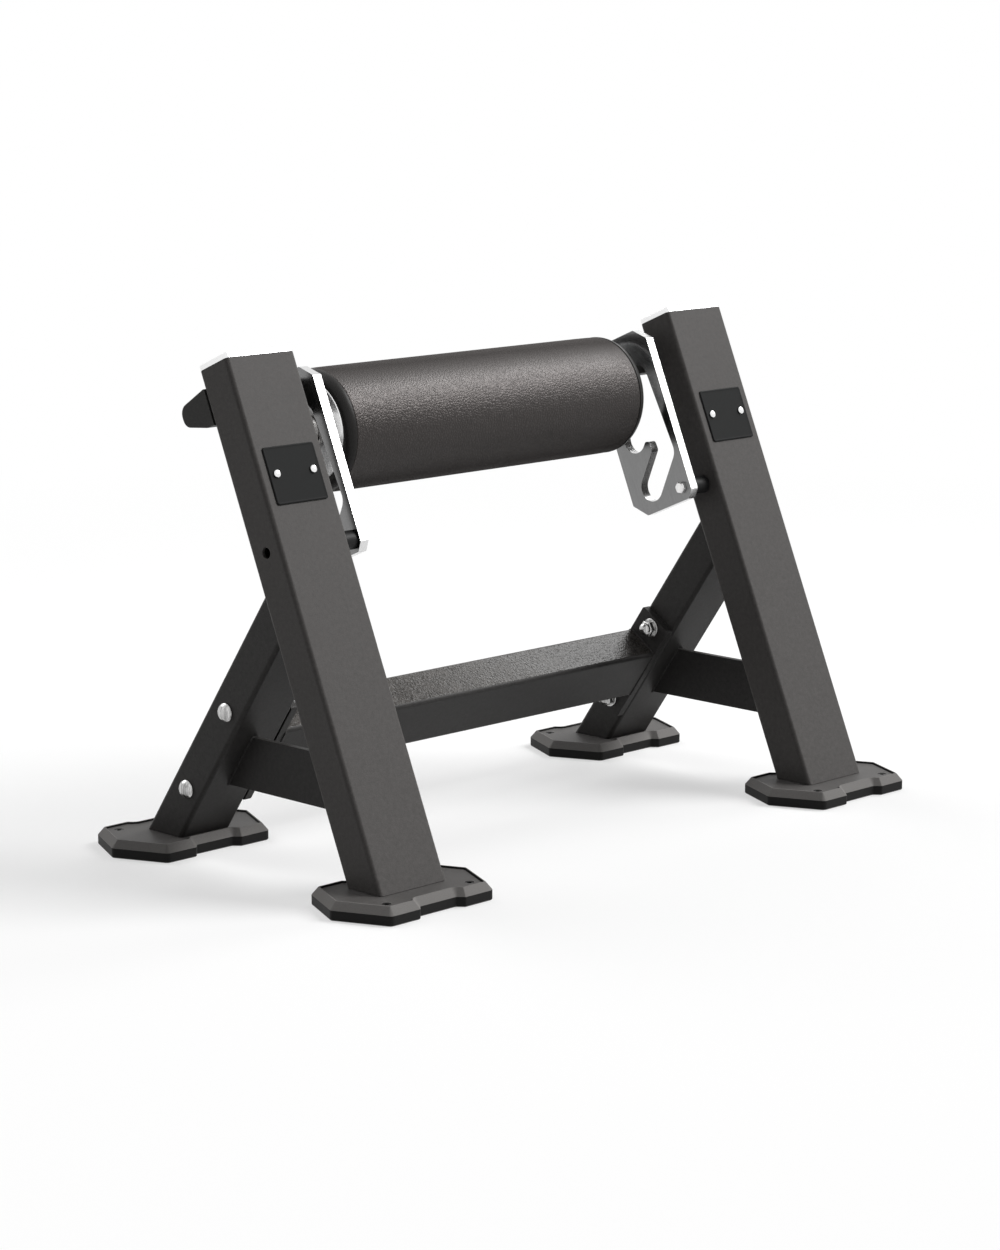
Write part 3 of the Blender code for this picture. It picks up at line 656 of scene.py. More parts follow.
@dataclass(frozen=True)
class Finish:
    """A finish: its colours, gloss and the grain of its surface."""

    name: str
    surface: Surface
    dark: Colour
    light: Colour
    worn: Colour                       # of rubbed edges
    gloss: tuple[float, float]         # roughness, smoothest and roughest
    grain: float                       # size of the grain
    relief: float                      # height of the grain
    metallic: float = 0.0
    specular: float = 0.5
    tint: Colour = (1.0, 1.0, 1.0)     # of the gloss
    wear: float = 0.3                  # share of the edges that is rubbed
    lean: float = 0.0                  # turn of the grain about X
    rim: float = 0.0                   # roughness added where a face turns out of sight

    def material(self) -> Material:
        """The finish as a material, built once.

        Returns:
            The material, the same one each time.
        """
        known = bpy.data.materials.get(self.name)
        if known:
            return known
        material = bpy.data.materials.new(self.name)
        material.use_nodes = True
        graph = Graph(material.node_tree)
        where = graph.add("ShaderNodeTexCoord").outputs["Object"]
        laid = graph.add("ShaderNodeMapping", {"Vector": where, "Rotation": (self.lean, 0, 0)})

        def effect(tree: NodeTree, **inputs: object) -> NodeOutputs:
            """The values of a shared effect."""
            return graph.add("ShaderNodeGroup", inputs, node_tree=tree).outputs

        grain = effect(getattr(EFFECTS, self.surface.value), Vector=laid.outputs[0],
                       Size=self.grain)
        handled = effect(EFFECTS.handling, Vector=where, Size=SMUDGE)["Mask"]
        worn = effect(EFFECTS.wear, Vector=where, Amount=self.wear)["Mask"]
        tone = graph.blend(grain["Mask"], (*self.dark, 1), (*self.light, 1))
        dusted = tuple(0.9 * value + 0.012 for value in self.light)
        tone = graph.blend(graph.times(handled, 0.25), tone, (*dusted, 1))
        tone = graph.blend(worn, tone, (*self.worn, 1))
        mixed = graph.plus(graph.times(grain["Mask"], 0.55), graph.times(handled, 0.45))
        rough = graph.spread(mixed, *self.gloss)
        if self.rim:
            facing = graph.add("ShaderNodeLayerWeight", {"Blend": 0.5}).outputs["Facing"]
            rough = graph.plus(rough, graph.spread(facing, 0.0, self.rim, 0.40, 0.70))
        bump = graph.add("ShaderNodeBump", {"Height": grain["Height"], "Distance": self.relief,
                                            "Strength": 1.0})
        graph.feed(material.node_tree.nodes["Principled BSDF"], {
            "Base Color": tone, "Roughness": rough, "Normal": bump.outputs[0],
            "Metallic": self.metallic, "Specular IOR Level": self.specular,
            "Specular Tint": (*self.tint, 1)})
        return material


def grey(level: float) -> Colour:
    """A grey of this level."""
    return (level, level, level)


def coat(name: str, dark: Colour, light: Colour, gloss: tuple[float, float], specular: float,
         grain: float = 0.0011, relief: float = 0.00010) -> Finish:
    """A powder coat, rubbed through to bare steel."""
    return Finish(f"{name}_powder_coat", Surface.POWDER, dark, light, (0.20, 0.195, 0.19), gloss,
                  grain, relief, specular=specular)


def moulding(name: str, dark: Colour, light: Colour, worn: Colour, gloss: tuple[float, float],
             grain: float, relief: float, specular: float, wear: float = 0.3) -> Finish:
    """Moulded rubber or plastic."""
    return Finish(name, Surface.MOULDED, dark, light, worn, gloss, grain, relief,
                  specular=specular, wear=wear)


def metal(name: str, dark: Colour, light: Colour, worn: Colour, gloss: tuple[float, float],
          grain: float = 0.0005, relief: float = 0.00002, lean: float = 0.0) -> Finish:
    """A bare metal with its ground lines along Z, or leaning from it."""
    return Finish(name, Surface.BRUSHED, dark, light, worn, gloss, grain, relief, metallic=1.0,
                  lean=lean)


POST_LEAN = radians(23.17)             # of the posts, to the rear
LEG_LEAN = radians(35.05)              # of the legs, to the front

POST_COAT = coat("post", (0.060, 0.0562, 0.0540), (0.098, 0.0925, 0.0893), (0.44, 0.58), 0.16)
LEG_COAT = coat("leg", (0.036, 0.0345, 0.0335), (0.062, 0.0595, 0.058), (0.42, 0.56), 0.13)
# Crossbar faces that look up or down: a lighter, coarser copy of the frame paint, a painted sheen
# meant for the top
BAR_PAINTED_SHEEN_COAT = coat("crossbar", (0.024, 0.022, 0.020), (0.100, 0.092, 0.085), (0.22, 0.36), 0.22,
                0.0026, 0.00055)
BRACKET_COAT = coat("bracket", (0.024, 0.023, 0.022), (0.042, 0.041, 0.039), (0.42, 0.58), 0.15)
BASE_COAT = coat("base", (0.060, 0.057, 0.055), (0.098, 0.094, 0.091), (0.42, 0.60), 0.15)
SHOE_RUBBER = moulding("shoe_bevel_rubber", (0.150, 0.144, 0.139), (0.215, 0.207, 0.200),
                       (0.24, 0.235, 0.23), (0.60, 0.74), 0.0009, 0.00008, 0.15, 0.2)
# The shoe's upright walls: a near-black copy of its rubber, painted shade
SHOE_WALL_SHADE = moulding("shoe_skirt_rubber", grey(0.010), (0.022, 0.021, 0.0205), grey(0.04),
                      (0.50, 0.66), 0.0009, 0.00008, 0.12, 0.1)
SPACER_NYLON = moulding("spacer_nylon", grey(0.012), grey(0.024), grey(0.05), (0.42, 0.56),
                        0.0007, 0.00005, 0.15)
BADGE_ENAMEL = moulding("badge_enamel", (0.014, 0.0145, 0.0145), (0.024, 0.025, 0.025),
                        grey(0.08), (0.52, 0.66), 0.0006, 0.00003, 0.06)
RING_RUBBER = moulding("ring_rubber", (0.012, 0.0115, 0.011), (0.030, 0.028, 0.027),
                       (0.05, 0.048, 0.046), (0.36, 0.50), 0.0010, 0.00004, 0.18, 0.15)
COVER_LEATHER = Finish("cover_leather", Surface.LEATHER, (0.004, 0.0036, 0.0034),
                       (0.032, 0.0287, 0.027), (0.05, 0.046, 0.043), (0.29, 0.42), 0.0034,
                       0.00030, specular=0.40, tint=(1.0, 0.90, 0.87), wear=0.1, rim=0.62)
CAP_METAL = metal("cap_polished_metal", grey(0.80), grey(0.90), grey(0.92), (0.16, 0.28), 0.0004)
# Side faces of the slotted plates: darker than bare steel, a painted reflection of darker
# surroundings
PLATE_STEEL_PAINTED_REFLECTION = metal("slotted_plate_steel", grey(0.185), grey(0.235), grey(0.60), (0.16, 0.26),
                    0.0004, lean=POST_LEAN)
EDGE_STEEL = metal("cut_edge_steel", grey(0.62), grey(0.78), grey(0.85), (0.20, 0.32),
                   lean=POST_LEAN)
BOLT_STEEL = metal("domed_bolt_steel", (0.16, 0.158, 0.155), (0.68, 0.675, 0.67), grey(0.9),
                   (0.14, 0.28), 0.0022, 0.00012)
ZINC_STEEL = metal("plate_bolt_zinc", (0.66, 0.655, 0.65), (0.90, 0.895, 0.89), grey(0.95),
                   (0.14, 0.26), 0.0012, 0.00004)
SCREW_STEEL = metal("screw_black_oxide", grey(0.005), grey(0.012), grey(0.03), (0.35, 0.50),
                    relief=0.00003)
RIVET_STEEL = metal("domed_rivet_steel", grey(0.82), grey(0.92), grey(0.95), (0.14, 0.22),
                    relief=0.00001)
DISC_STEEL = metal("disc_polished_steel", grey(0.86), grey(0.94), grey(0.95), (0.22, 0.34))
AXLE_STEEL = metal("axle_ground_steel", (0.50, 0.49, 0.48), (0.66, 0.65, 0.64), grey(0.8),
                   (0.16, 0.28))
CORE_STEEL = metal("core_zinc_steel", (0.26, 0.26, 0.27), (0.38, 0.38, 0.39), grey(0.6),
                   (0.34, 0.48), 0.0012, 0.00004)
BEARING_STEEL = metal("bearing_ring_steel", grey(0.48), grey(0.62), grey(0.8), (0.20, 0.32))


# Growing what repeats


class Growth:
    """Geometry node trees for what repeats, each built when it is first asked for."""

    def begin(self, name: str, **inputs: str) -> Group:
        """A new tree that takes a geometry, its own inputs, a seed and a finish."""
        given = {"Geometry": "Geometry", **inputs, "Seed": "Int", "Finish": "Material"}
        return Group("Geometry", name, given, {"Geometry": "Geometry"})

    def end(self, group: Group, points: NodeSocket, shape: NodeSocket,
            **places: NodeSocket) -> NodeTree:
        """Ends a tree in real, dressed geometry.

        Args:
            group: The tree's graph.
            points: Where the shapes go.
            shape: What goes there.
            places: The shapes' Rotation, and their Scale where it isn't 1.

        Returns:
            The tree.
        """
        placed = group.add("GeometryNodeInstanceOnPoints", {"Points": points, "Instance": shape,
                                                            **places})
        real = group.add("GeometryNodeRealizeInstances", {"Geometry": placed.outputs[0]})
        dressed = group.add("GeometryNodeSetMaterial", {"Geometry": real.outputs[0],
                                                        "Material": group.given["Finish"]})
        return group.close(Geometry=dressed.outputs[0])

    @cached_property
    def fasteners(self) -> NodeTree:
        """A fastener on each point, along the point's facing, turned about itself by chance."""
        group = self.begin("seated fasteners", Fastener="Object", Turn="Float")
        facing = group.add("GeometryNodeInputNamedAttribute", {"Name": "facing"},
                           data_type="FLOAT_VECTOR").outputs["Attribute"]
        along = group.add("FunctionNodeAlignRotationToVector", {"Vector": facing}, axis="Z")
        chance = group.add("FunctionNodeRandomValue", {"Seed": group.given["Seed"]},
                           data_type="FLOAT").outputs[1]
        spin = group.add("FunctionNodeAxisAngleToRotation", {
            "Axis": (0, 0, 1), "Angle": group.times(chance, group.given["Turn"])})
        turn = group.add("FunctionNodeRotateRotation", {
            "Rotation": along.outputs[0], "Rotate By": spin.outputs[0]}, rotation_space="LOCAL")
        shape = group.add("GeometryNodeObjectInfo", {"Object": group.given["Fastener"]})
        return self.end(group, group.given["Geometry"], shape.outputs["Geometry"],
                        Rotation=turn.outputs[0])

    @cached_property
    def beads(self) -> NodeTree:
        """Overlapping beads along every path, as a weld seam lies."""
        group = self.begin("weld beads", Spacing="Float", Radius="Float", Unevenness="Float")
        given = group.given
        line = group.add("GeometryNodeMeshToCurve", {"Mesh": given["Geometry"]})
        steps = group.add("GeometryNodeResampleCurve", {"Curve": line.outputs[0],
                                                        "Length": given["Spacing"]}, mode="LENGTH")
        tangent = group.add("GeometryNodeInputTangent").outputs[0]
        along = group.add("FunctionNodeAlignRotationToVector", {"Vector": tangent}, axis="Z")
        low = group.math("SUBTRACT", 1.0, given["Unevenness"])
        high = group.plus(1.0, given["Unevenness"])
        chance = group.add("FunctionNodeRandomValue", {2: low, 3: high, "Seed": given["Seed"]},
                           data_type="FLOAT").outputs[1]
        size = group.times(chance, given["Radius"])
        bead = group.add("GeometryNodeMeshUVSphere", {"Segments": 10, "Rings": 6, "Radius": 1.0})
        scale = group.add("ShaderNodeCombineXYZ", {"X": size, "Y": size,
                                                   "Z": group.times(size, 0.8)})
        return self.end(group, steps.outputs[0], bead.outputs[0], Rotation=along.outputs[0],
                        Scale=scale.outputs[0])

    def grow(self, tree: NodeTree, seedbed: Mesh, finish: Finish, seed: int,
             **values: object) -> Mesh:
        """Runs a tree on a mesh of points or paths.

        Args:
            tree: The tree.
            seedbed: The mesh that it starts from.
            finish: The finish that it gives.
            seed: What its chances start from.
            values: Its other inputs, by name.

        Returns:
            The plain mesh that it makes.
        """
        values.update(Seed=seed, Finish=finish.material())
        holder = linked("seedbed", seedbed)
        modifier = holder.modifiers.new("growth", "NODES")
        modifier.node_group = tree
        for item in tree.interface.items_tree:
            if item.in_out == "INPUT" and item.name in values:
                modifier[item.identifier] = values[item.name]
        return evaluated(holder)


GROWTH = Growth()


@dataclass
class Fasteners:
    """Alike fasteners: one template, and each one's node, point and direction."""

    name: str
    slot: str
    template: Mesh
    finish: Finish
    turn: float = 0.0                  # the largest turn that chance gives one
    seed: int = 3
    seated: list[tuple[str, Vector, Vector]] = field(default_factory=list)

    def add(self, node: str, point: Vector, facing: Vector) -> None:
        """Seats one more, its own +Z along facing."""
        self.seated.append((node, point, facing.normalized()))

    def build(self) -> None:
        """Builds all of them as one piece."""
        nodes, points, facings = zip(*self.seated)
        template = linked("template", self.template)
        spots = bpy.data.meshes.new("spots")
        spots.from_pydata(points, [], [])
        facing = spots.attributes.new("facing", "FLOAT_VECTOR", "POINT")
        facing.data.foreach_set("vector", [value for way in facings for value in way])
        mesh = GROWTH.grow(GROWTH.fasteners, spots, self.finish, self.seed, Fastener=template,
                           Turn=self.turn)
        bpy.data.objects.remove(template)
        settle(Seat(self.name, self.slot, nodes), mesh, self.finish, FASTENER_EDGE)


# Places


@dataclass(frozen=True)
class Leaning:
    """The frame of a leaning tube: x across, y to the rear of its datum face, z up along it."""

    middle: float                      # x of its middle plane
    foot: float                        # y of its datum face at the tubes' foot
    lean: float                        # to the rear
    level: float = 0.0186              # height of the tubes' lower ends

    @property
    def matrix(self) -> Matrix:
        """From this frame to the bench's."""
        spot = Matrix.Translation((self.middle, self.foot, self.level))
        return spot @ Matrix.Rotation(-self.lean, 4, "X")

    def at(self, x: float, y: float, z: float) -> Vector:
        """A point of this frame in the bench's frame."""
        return self.matrix @ Vector((x, y, z))


SPAN = 0.720                           # between the middle planes of the two side frames
FIT = 0.0003                           # gap between pieces that touch
TUBE_WALL = 0.004
TUBE_CORNER = 0.005                    # radius of the tubes' corners
BORE_CORNER = 0.0015                   # and of their bores'
POST_WIDTH = 0.100
POST_DEPTH = 0.050
LEG_WIDTH = 0.075
PLATE_GAP = 0.027                      # from a post to its slotted plate
PLATE_THICKNESS = 0.012
PLATE_BOLT = (0.025, 0.396)            # behind the post's front, and up along it
PLATE_BORE = 0.0043                    # radius of the hole for it
ON_EDGE = Matrix.Rotation(pi / 2, 4, "Z") @ Matrix.Rotation(pi / 2, 4, "X")


def post_of(side: Side) -> Leaning:
    """The frame of a side's post."""
    return Leaning(side.value * SPAN / 2, -0.2039, POST_LEAN)


def leg_of(side: Side) -> Leaning:
    """The frame of a side's rear leg."""
    return Leaning(side.value * SPAN / 2, 0.2062, -LEG_LEAN)


def shifted(x: float, y: float, z: float) -> Matrix:
    """A place that far along each axis."""
    return Matrix.Translation((x, y, z))


def toward(facing: Vector, spot: Vector) -> Matrix:
    """Places a shape with its +Z along facing."""
    return Matrix.Translation(spot) @ facing.to_track_quat("Z", "Y").to_matrix().to_4x4()


# Side frames


@dataclass
class SideFrame:
    """A post with its lid, the rear leg behind it and the flat tie bar between them."""

    side: Side
    post_length: float = 0.613
    leg_depth: float = 0.050
    tie_bottom: float = 0.084
    tie_top: float = 0.146
    tie_thickness: float = 0.008
    lid_thickness: float = 0.0065
    lid_plug: float = 0.014
    access_hole: float = 0.0063        # radius of the hole that lets a tool reach the plate bolt
    drill_depth: float = 0.06          # from the post's middle plane to past its wall

    def __post_init__(self) -> None:
        """Takes the frames of this side's post and leg."""
        self.post, self.leg = post_of(self.side), leg_of(self.side)

    def seat(self, name: str, slot: str, node: str) -> Seat:
        """The seat of a piece of this side."""
        return seat_at(self.side.word, name, slot, node)

    def loop(self, width: float, depth: float, radius: float, middle: float, height: float,
             slope: float) -> Outline:
        """A tube's outline on a plane that rises with y.

        Args:
            width: Across, along x.
            depth: Along y.
            radius: Of its corners.
            middle: The y of its middle.
            height: The plane's height at y = 0.
            slope: The plane's rise with y.

        Returns:
            The outline's points in the tube's frame.
        """
        return [Vector((x, y + middle, height + slope * (y + middle)))
                for x, y in rounded(rectangle(width, depth, radius))]

    def tube(self, width: float, depth: float, middle: float, low: tuple[float, float],
             high: tuple[float, float]) -> Mesh:
        """An open rectangular tube.

        Args:
            width: Across, along x.
            depth: Along y.
            middle: The y of its middle.
            low: The lower end plane's height and slope.
            high: The upper end plane's.

        Returns:
            Its mesh, in its own frame.
        """
        inner = (width - 2 * TUBE_WALL, depth - 2 * TUBE_WALL, BORE_CORNER, middle)
        outer = (width, depth, TUBE_CORNER, middle)
        return lofted([self.loop(*outer, *low), self.loop(*outer, *high),
                       self.loop(*inner, *high), self.loop(*inner, *low)], ring=True)

    def build_post(self) -> None:
        """The post: foot cut level, top cut square, bored for the plate bolt and to reach it."""
        holes = []
        for sign, radius in ((1, self.access_hole), (-1, PLATE_BORE)):
            hole = drill(radius, 0, self.drill_depth)
            hole.transform(toward(Vector((sign * self.side.value, 0, 0)),
                                  self.post.at(0, *PLATE_BOLT)))
            holes.append(hole)
        mesh = self.tube(POST_WIDTH, POST_DEPTH, POST_DEPTH / 2, (0.0, tan(POST_LEAN)),
                         (self.post_length, 0.0))
        settle(self.seat("post_tube", "frame_paint", "post"), mesh, POST_COAT, TUBE_EDGE,
               self.post.matrix, holes)

    def build_lid(self) -> None:
        """The bright lid in the post's top: a broken upper edge and a hollow plug below."""
        plug = TUBE_WALL + FIT
        high = self.lid_thickness
        mesh = stacked(rectangle(POST_WIDTH, POST_DEPTH, TUBE_CORNER), [
            (plug + 0.003, 0), (plug + 0.003, -self.lid_plug), (plug + 0.0004, -self.lid_plug),
            (plug, 0), (0, 0), (0, high - 0.0016), (0.0006, high - 0.0005), (0.0018, high),
            (0.0060, high + 0.0002)])
        spot = shifted(0, POST_DEPTH / 2, self.post_length + FIT)
        settle(self.seat("post_lid", "cap_metal", "post_cap"), mesh, CAP_METAL, Edge(0.0003, 2),
               self.post.matrix @ spot)

    @property
    def mitre(self) -> tuple[float, float]:
        """The leg's upper end plane: its height at the leg's rear face, and its slope."""
        reach = (self.leg.foot - self.post.foot) * cos(POST_LEAN) - POST_DEPTH - FIT
        return reach / sin(LEG_LEAN + POST_LEAN), 1 / tan(LEG_LEAN + POST_LEAN)

    def build_leg(self) -> None:
        """The rear leg: foot cut level, top mitred to the post's back."""
        mesh = self.tube(LEG_WIDTH, self.leg_depth, -self.leg_depth / 2, (0.0, -tan(LEG_LEAN)),
                         self.mitre)
        settle(self.seat("leg_tube", "frame_paint", "rear_leg"), mesh, LEG_COAT, TUBE_EDGE,
               self.leg.matrix)

    @property
    def tie_corners(self) -> list[Vector]:
        """The tie bar's corners in the (y, z) plane.

        Returns:
            Low front, low rear, high rear and high front.
        """
        back = Vector((self.post.foot + (POST_DEPTH + FIT) / cos(POST_LEAN), self.post.level))
        front = Vector((self.leg.foot - (self.leg_depth + FIT) / cos(LEG_LEAN), self.leg.level))
        faces = [(back, Vector((sin(POST_LEAN), cos(POST_LEAN)))),
                 (front, Vector((-sin(LEG_LEAN), cos(LEG_LEAN))))]
        low, high = ([meeting(Vector((0, height)), Vector((1, 0)), *face) for face in faces]
                     for height in (self.tie_bottom, self.tie_top))
        return low + high[::-1]

    def build_tie(self) -> None:
        """The flat tie bar on edge between the post and the leg."""
        settle(self.seat("tie_strap", "frame_paint", "tie_bar"),
               flat([self.tie_corners], self.tie_thickness), LEG_COAT, BAR_EDGE,
               shifted(self.post.middle, 0, 0) @ ON_EDGE)

    def seams(self) -> Seams:
        """Where this side is welded.

        Returns:
            The paths round the tie bar's ends and the leg's mitre.
        """
        half = self.tie_thickness / 2
        low_front, low_rear, high_rear, high_front = self.tie_corners
        paths = []
        for low, high in ((low_front, high_front), (low_rear, high_rear)):
            paths.append(([Vector((self.post.middle + sign * half, *end)) for sign, ends
                           in ((-1, (low, high)), (1, (high, low))) for end in ends], True))
        joint = self.loop(LEG_WIDTH, self.leg_depth, TUBE_CORNER, -self.leg_depth / 2, *self.mitre)
        return paths + [([self.leg.matrix @ point for point in joint], True)]

    def build(self) -> None:
        """Builds the side."""
        self.build_post()
        self.build_lid()
        self.build_leg()
        self.build_tie()


# Feet


@dataclass
class Feet:
    """Four feet: a bevelled rubber shoe with waisted sides, a steel base in it and two screws."""

    spacing: float = 0.3709            # from the front feet to the rear ones
    half_length: float = 0.106
    edge: float = 0.0764               # half the straight edge with the waist in it
    half_depth: float = 0.0644
    waist_outer: float = 0.034
    waist_inner: float = 0.027
    waist_depth: float = 0.008
    wall_height: float = 0.0115
    height: float = 0.0205
    bevel: float = 0.0074              # its width
    ridge: float = 0.0012
    floor: float = 0.0120              # of the recess
    draft: float = 0.0008
    base_thickness: float = 0.0060
    screw_x: float = 0.0623
    screw_y: float = 0.0413
    socket: float = 0.0024             # half the socket's width across its flats

    def corners(self) -> list[Corner]:
        """A foot's outline.

        Returns:
            Its corners: pointed sides and a shallow waist in each long edge.
        """
        quarter = [(self.half_length, 0, 0.006), (self.edge, self.half_depth, 0.007),
                   (self.waist_outer, self.half_depth, 0.003),
                   (self.waist_inner, self.half_depth - self.waist_depth, 0.003)]
        rear_left = [(-x, y, radius) for x, y, radius in reversed(quarter[1:])]
        return quarter + rear_left + [(-x, -y, radius) for x, y, radius in quarter + rear_left]

    def shoe(self) -> Mesh:
        """The shoe: an upright wall, a wide bevel, a thin ridge and a recess for the base."""
        ridge = self.bevel + self.ridge
        return stacked(self.corners(), [
            (0.0010, 0), (0, 0.0010), (0, self.wall_height), (self.bevel, self.height),
            (ridge, self.height), (ridge + self.draft, self.floor)])

    def base(self) -> Mesh:
        """The base plate, a hair's breadth clear of the recess."""
        clearance = self.bevel + self.ridge + self.draft + FIT
        return flat([rounded(inset(self.corners(), clearance))], self.base_thickness)

    def screw(self) -> Mesh:
        """A flat-headed screw with a six-sided socket, the seat plane at z = 0."""
        return hexagonal(turned([
            (0, -0.0030), (self.socket, -0.0030), (self.socket, -0.0006), (0.0028, -0.0004),
            (0.0046, -0.0004), (0.0050, -0.0007), (0.0050, -0.0028), (0.0030, -0.0030),
            (0.0030, -0.0110), (0, -0.0120)], 36), self.socket)

    def build(self) -> None:
        """Builds the four feet and their screws."""
        screws = Fasteners("base_screws", "screw_steel", self.screw(), SCREW_STEEL, pi / 3, 5)
        top = self.floor + FIT + self.base_thickness
        for side, row in product(Side, Row):
            foot = (shifted(side.value * SPAN / 2, row.value * self.spacing / 2, 0)
                    @ Matrix.Rotation(0 if row is Row.FRONT else pi, 4, "Z"))
            word = f"{side.word}_{row.word}"
            holes = []
            for end, x in (("inner", -self.screw_x), ("outer", self.screw_x)):
                spot = foot @ Vector((x, -self.screw_y, top))
                screws.add(f"{word}_{end}_base_screw", spot, Vector((0, 0, 1)))
                hole = turned([(0, 0.004), (0.0058, 0.004), (0.0053, -0.0004), (0.0053, -0.0034),
                               (0.0033, -0.0034), (0.0033, -0.0123), (0, -0.0123)], 36)
                hole.transform(shifted(*spot))
                holes.append(hole)
            # The shoe's upright faces take the near-black copy: painted shade on its walls
            settle(seat_at(word, "rubber_shoe", "shoe_rubber", "shoe"), self.shoe(), SHOE_RUBBER,
                   Edge(0.0009, 3, radians(20)), foot, [hole.copy() for hole in holes],
                   Trim(SHOE_WALL_SHADE, 2, 0.30))
            settle(seat_at(word, "steel_base", "base_paint", "base"), self.base(), BASE_COAT,
                   Edge(0.0005, 2), foot @ shifted(0, 0, top - self.base_thickness / 2), holes)
        screws.build()


# Crossbar


@dataclass
class Crossbar:
    """The crossbar with its end plates, bolted through the legs."""

    up: float = 0.1527                 # of its middle, along the legs
    height: float = 0.075
    depth: float = 0.050
    plate_height: float = 0.150
    plate_thickness: float = 0.010
    bolt_spacing: float = 0.123
    bolt_depth: float = 0.026
    bolt_radius: float = 0.006
    bolt_in_nut: float = 0.0118        # how far a bolt reaches into its cap nut
    nut_flats: float = 0.0090          # half its width across its flats
    inner: float = SPAN / 2 - LEG_WIDTH / 2     # the legs' inner faces, as x

    @property
    def half_length(self) -> float:
        """Half the crossbar's length."""
        return self.inner - self.plate_thickness - 2 * FIT

    def loop(self, x: float, margin: float, radius: float) -> Outline:
        """The crossbar's outline at x, in the bench's frame."""
        outline = rounded(rectangle(self.depth - margin, self.height - margin, radius))
        return [leg_of(Side.LEFT).at(x + SPAN / 2, y - self.depth / 2, z + self.up)
                for y, z in outline]

    def build_bar(self) -> None:
        """The crossbar itself, a tube."""
        half = self.half_length
        inside = (2 * TUBE_WALL, BORE_CORNER)
        mesh = lofted([self.loop(-half, 0, TUBE_CORNER), self.loop(half, 0, TUBE_CORNER),
                       self.loop(half, *inside), self.loop(-half, *inside)], ring=True)
        # Faces that look up or down take the lighter coat, a painted sheen; the upright faces keep
        # the darker leg coat
        settle(Seat("crossbar_tube", "frame_paint", ("crossbar",)), mesh, BAR_PAINTED_SHEEN_COAT, TUBE_EDGE,
               trim=Trim(LEG_COAT, 2, 0.70))

    def bolt(self, length: float) -> Mesh:
        """A domed bolt, the seat of its head at z = 0."""
        return turned([(0, 0.0072), (0.0025, 0.00705), (0.0050, 0.0066), (0.0072, 0.0057),
                       (0.0092, 0.0042), (0.0106, 0.0026), (0.0113, 0.0012), (0.0115, 0.0004),
                       (0.0113, 0), (self.bolt_radius, 0), (self.bolt_radius, -length),
                       (0, -length)])

    def cap_nut(self) -> Mesh:
        """A domed cap nut on its washer, the seat at z = 0: a hexagon below the dome."""
        flats = self.nut_flats
        return hexagonal(turned(arc(0.0082, 0.0075, radians(10), 9, (0, 0.0105)) + [
            (0.0082, 0.0105), (0.00895, 0.0102), (flats, 0.0098), (flats, 0.0028),
            (0.0086, 0.0025), (0.0117, 0.0025), (0.0120, 0.0021), (0.0120, 0.0003), (0.0117, 0),
            (0.0063, 0), (0.0063, 0.0125), (0, 0.0125)], 60), flats)

    def build(self) -> None:
        """Builds the crossbar, its end plates, bolts and cap nuts."""
        self.build_bar()
        head = SPAN / 2 + LEG_WIDTH / 2 + FIT
        bolts = Fasteners("leg_bolts", "bolt_steel",
                          self.bolt(head - self.half_length + self.bolt_in_nut), BOLT_STEEL, pi)
        nuts = Fasteners("leg_cap_nuts", "bolt_steel", self.cap_nut(), BOLT_STEEL, pi / 3, 8)
        for side in Side:
            leg = leg_of(side)
            x = side.value * (self.inner - FIT - self.plate_thickness / 2 - SPAN / 2)
            mesh = flat([rounded(rectangle(self.depth, self.plate_height, 0.003))],
                        self.plate_thickness)
            settle(seat_at(side.word, "crossbar_flange", "frame_paint", "crossbar_plate"), mesh,
                   LEG_COAT, BAR_EDGE,
                   leg.matrix @ shifted(x, -self.depth / 2, self.up) @ ON_EDGE)
            for level, sign in (("lower", -1), ("upper", 1)):
                up = self.up + sign * self.bolt_spacing / 2
                for row, name, out, way in ((bolts, "bolt", head, 1),
                                            (nuts, "cap_nut", self.half_length, -1)):
                    row.add(f"{side.word}_{level}_{name}",
                            leg.at(side.value * (out - SPAN / 2), -self.bolt_depth, up),
                            Vector((way * side.value, 0, 0)))
        bolts.build()
        nuts.build()

    def seams(self) -> Seams:
        """The welds round the crossbar's two ends."""
        return [(self.loop(sign * self.half_length, 0, TUBE_CORNER), True) for sign in (-1, 1)]


# Slotted plates


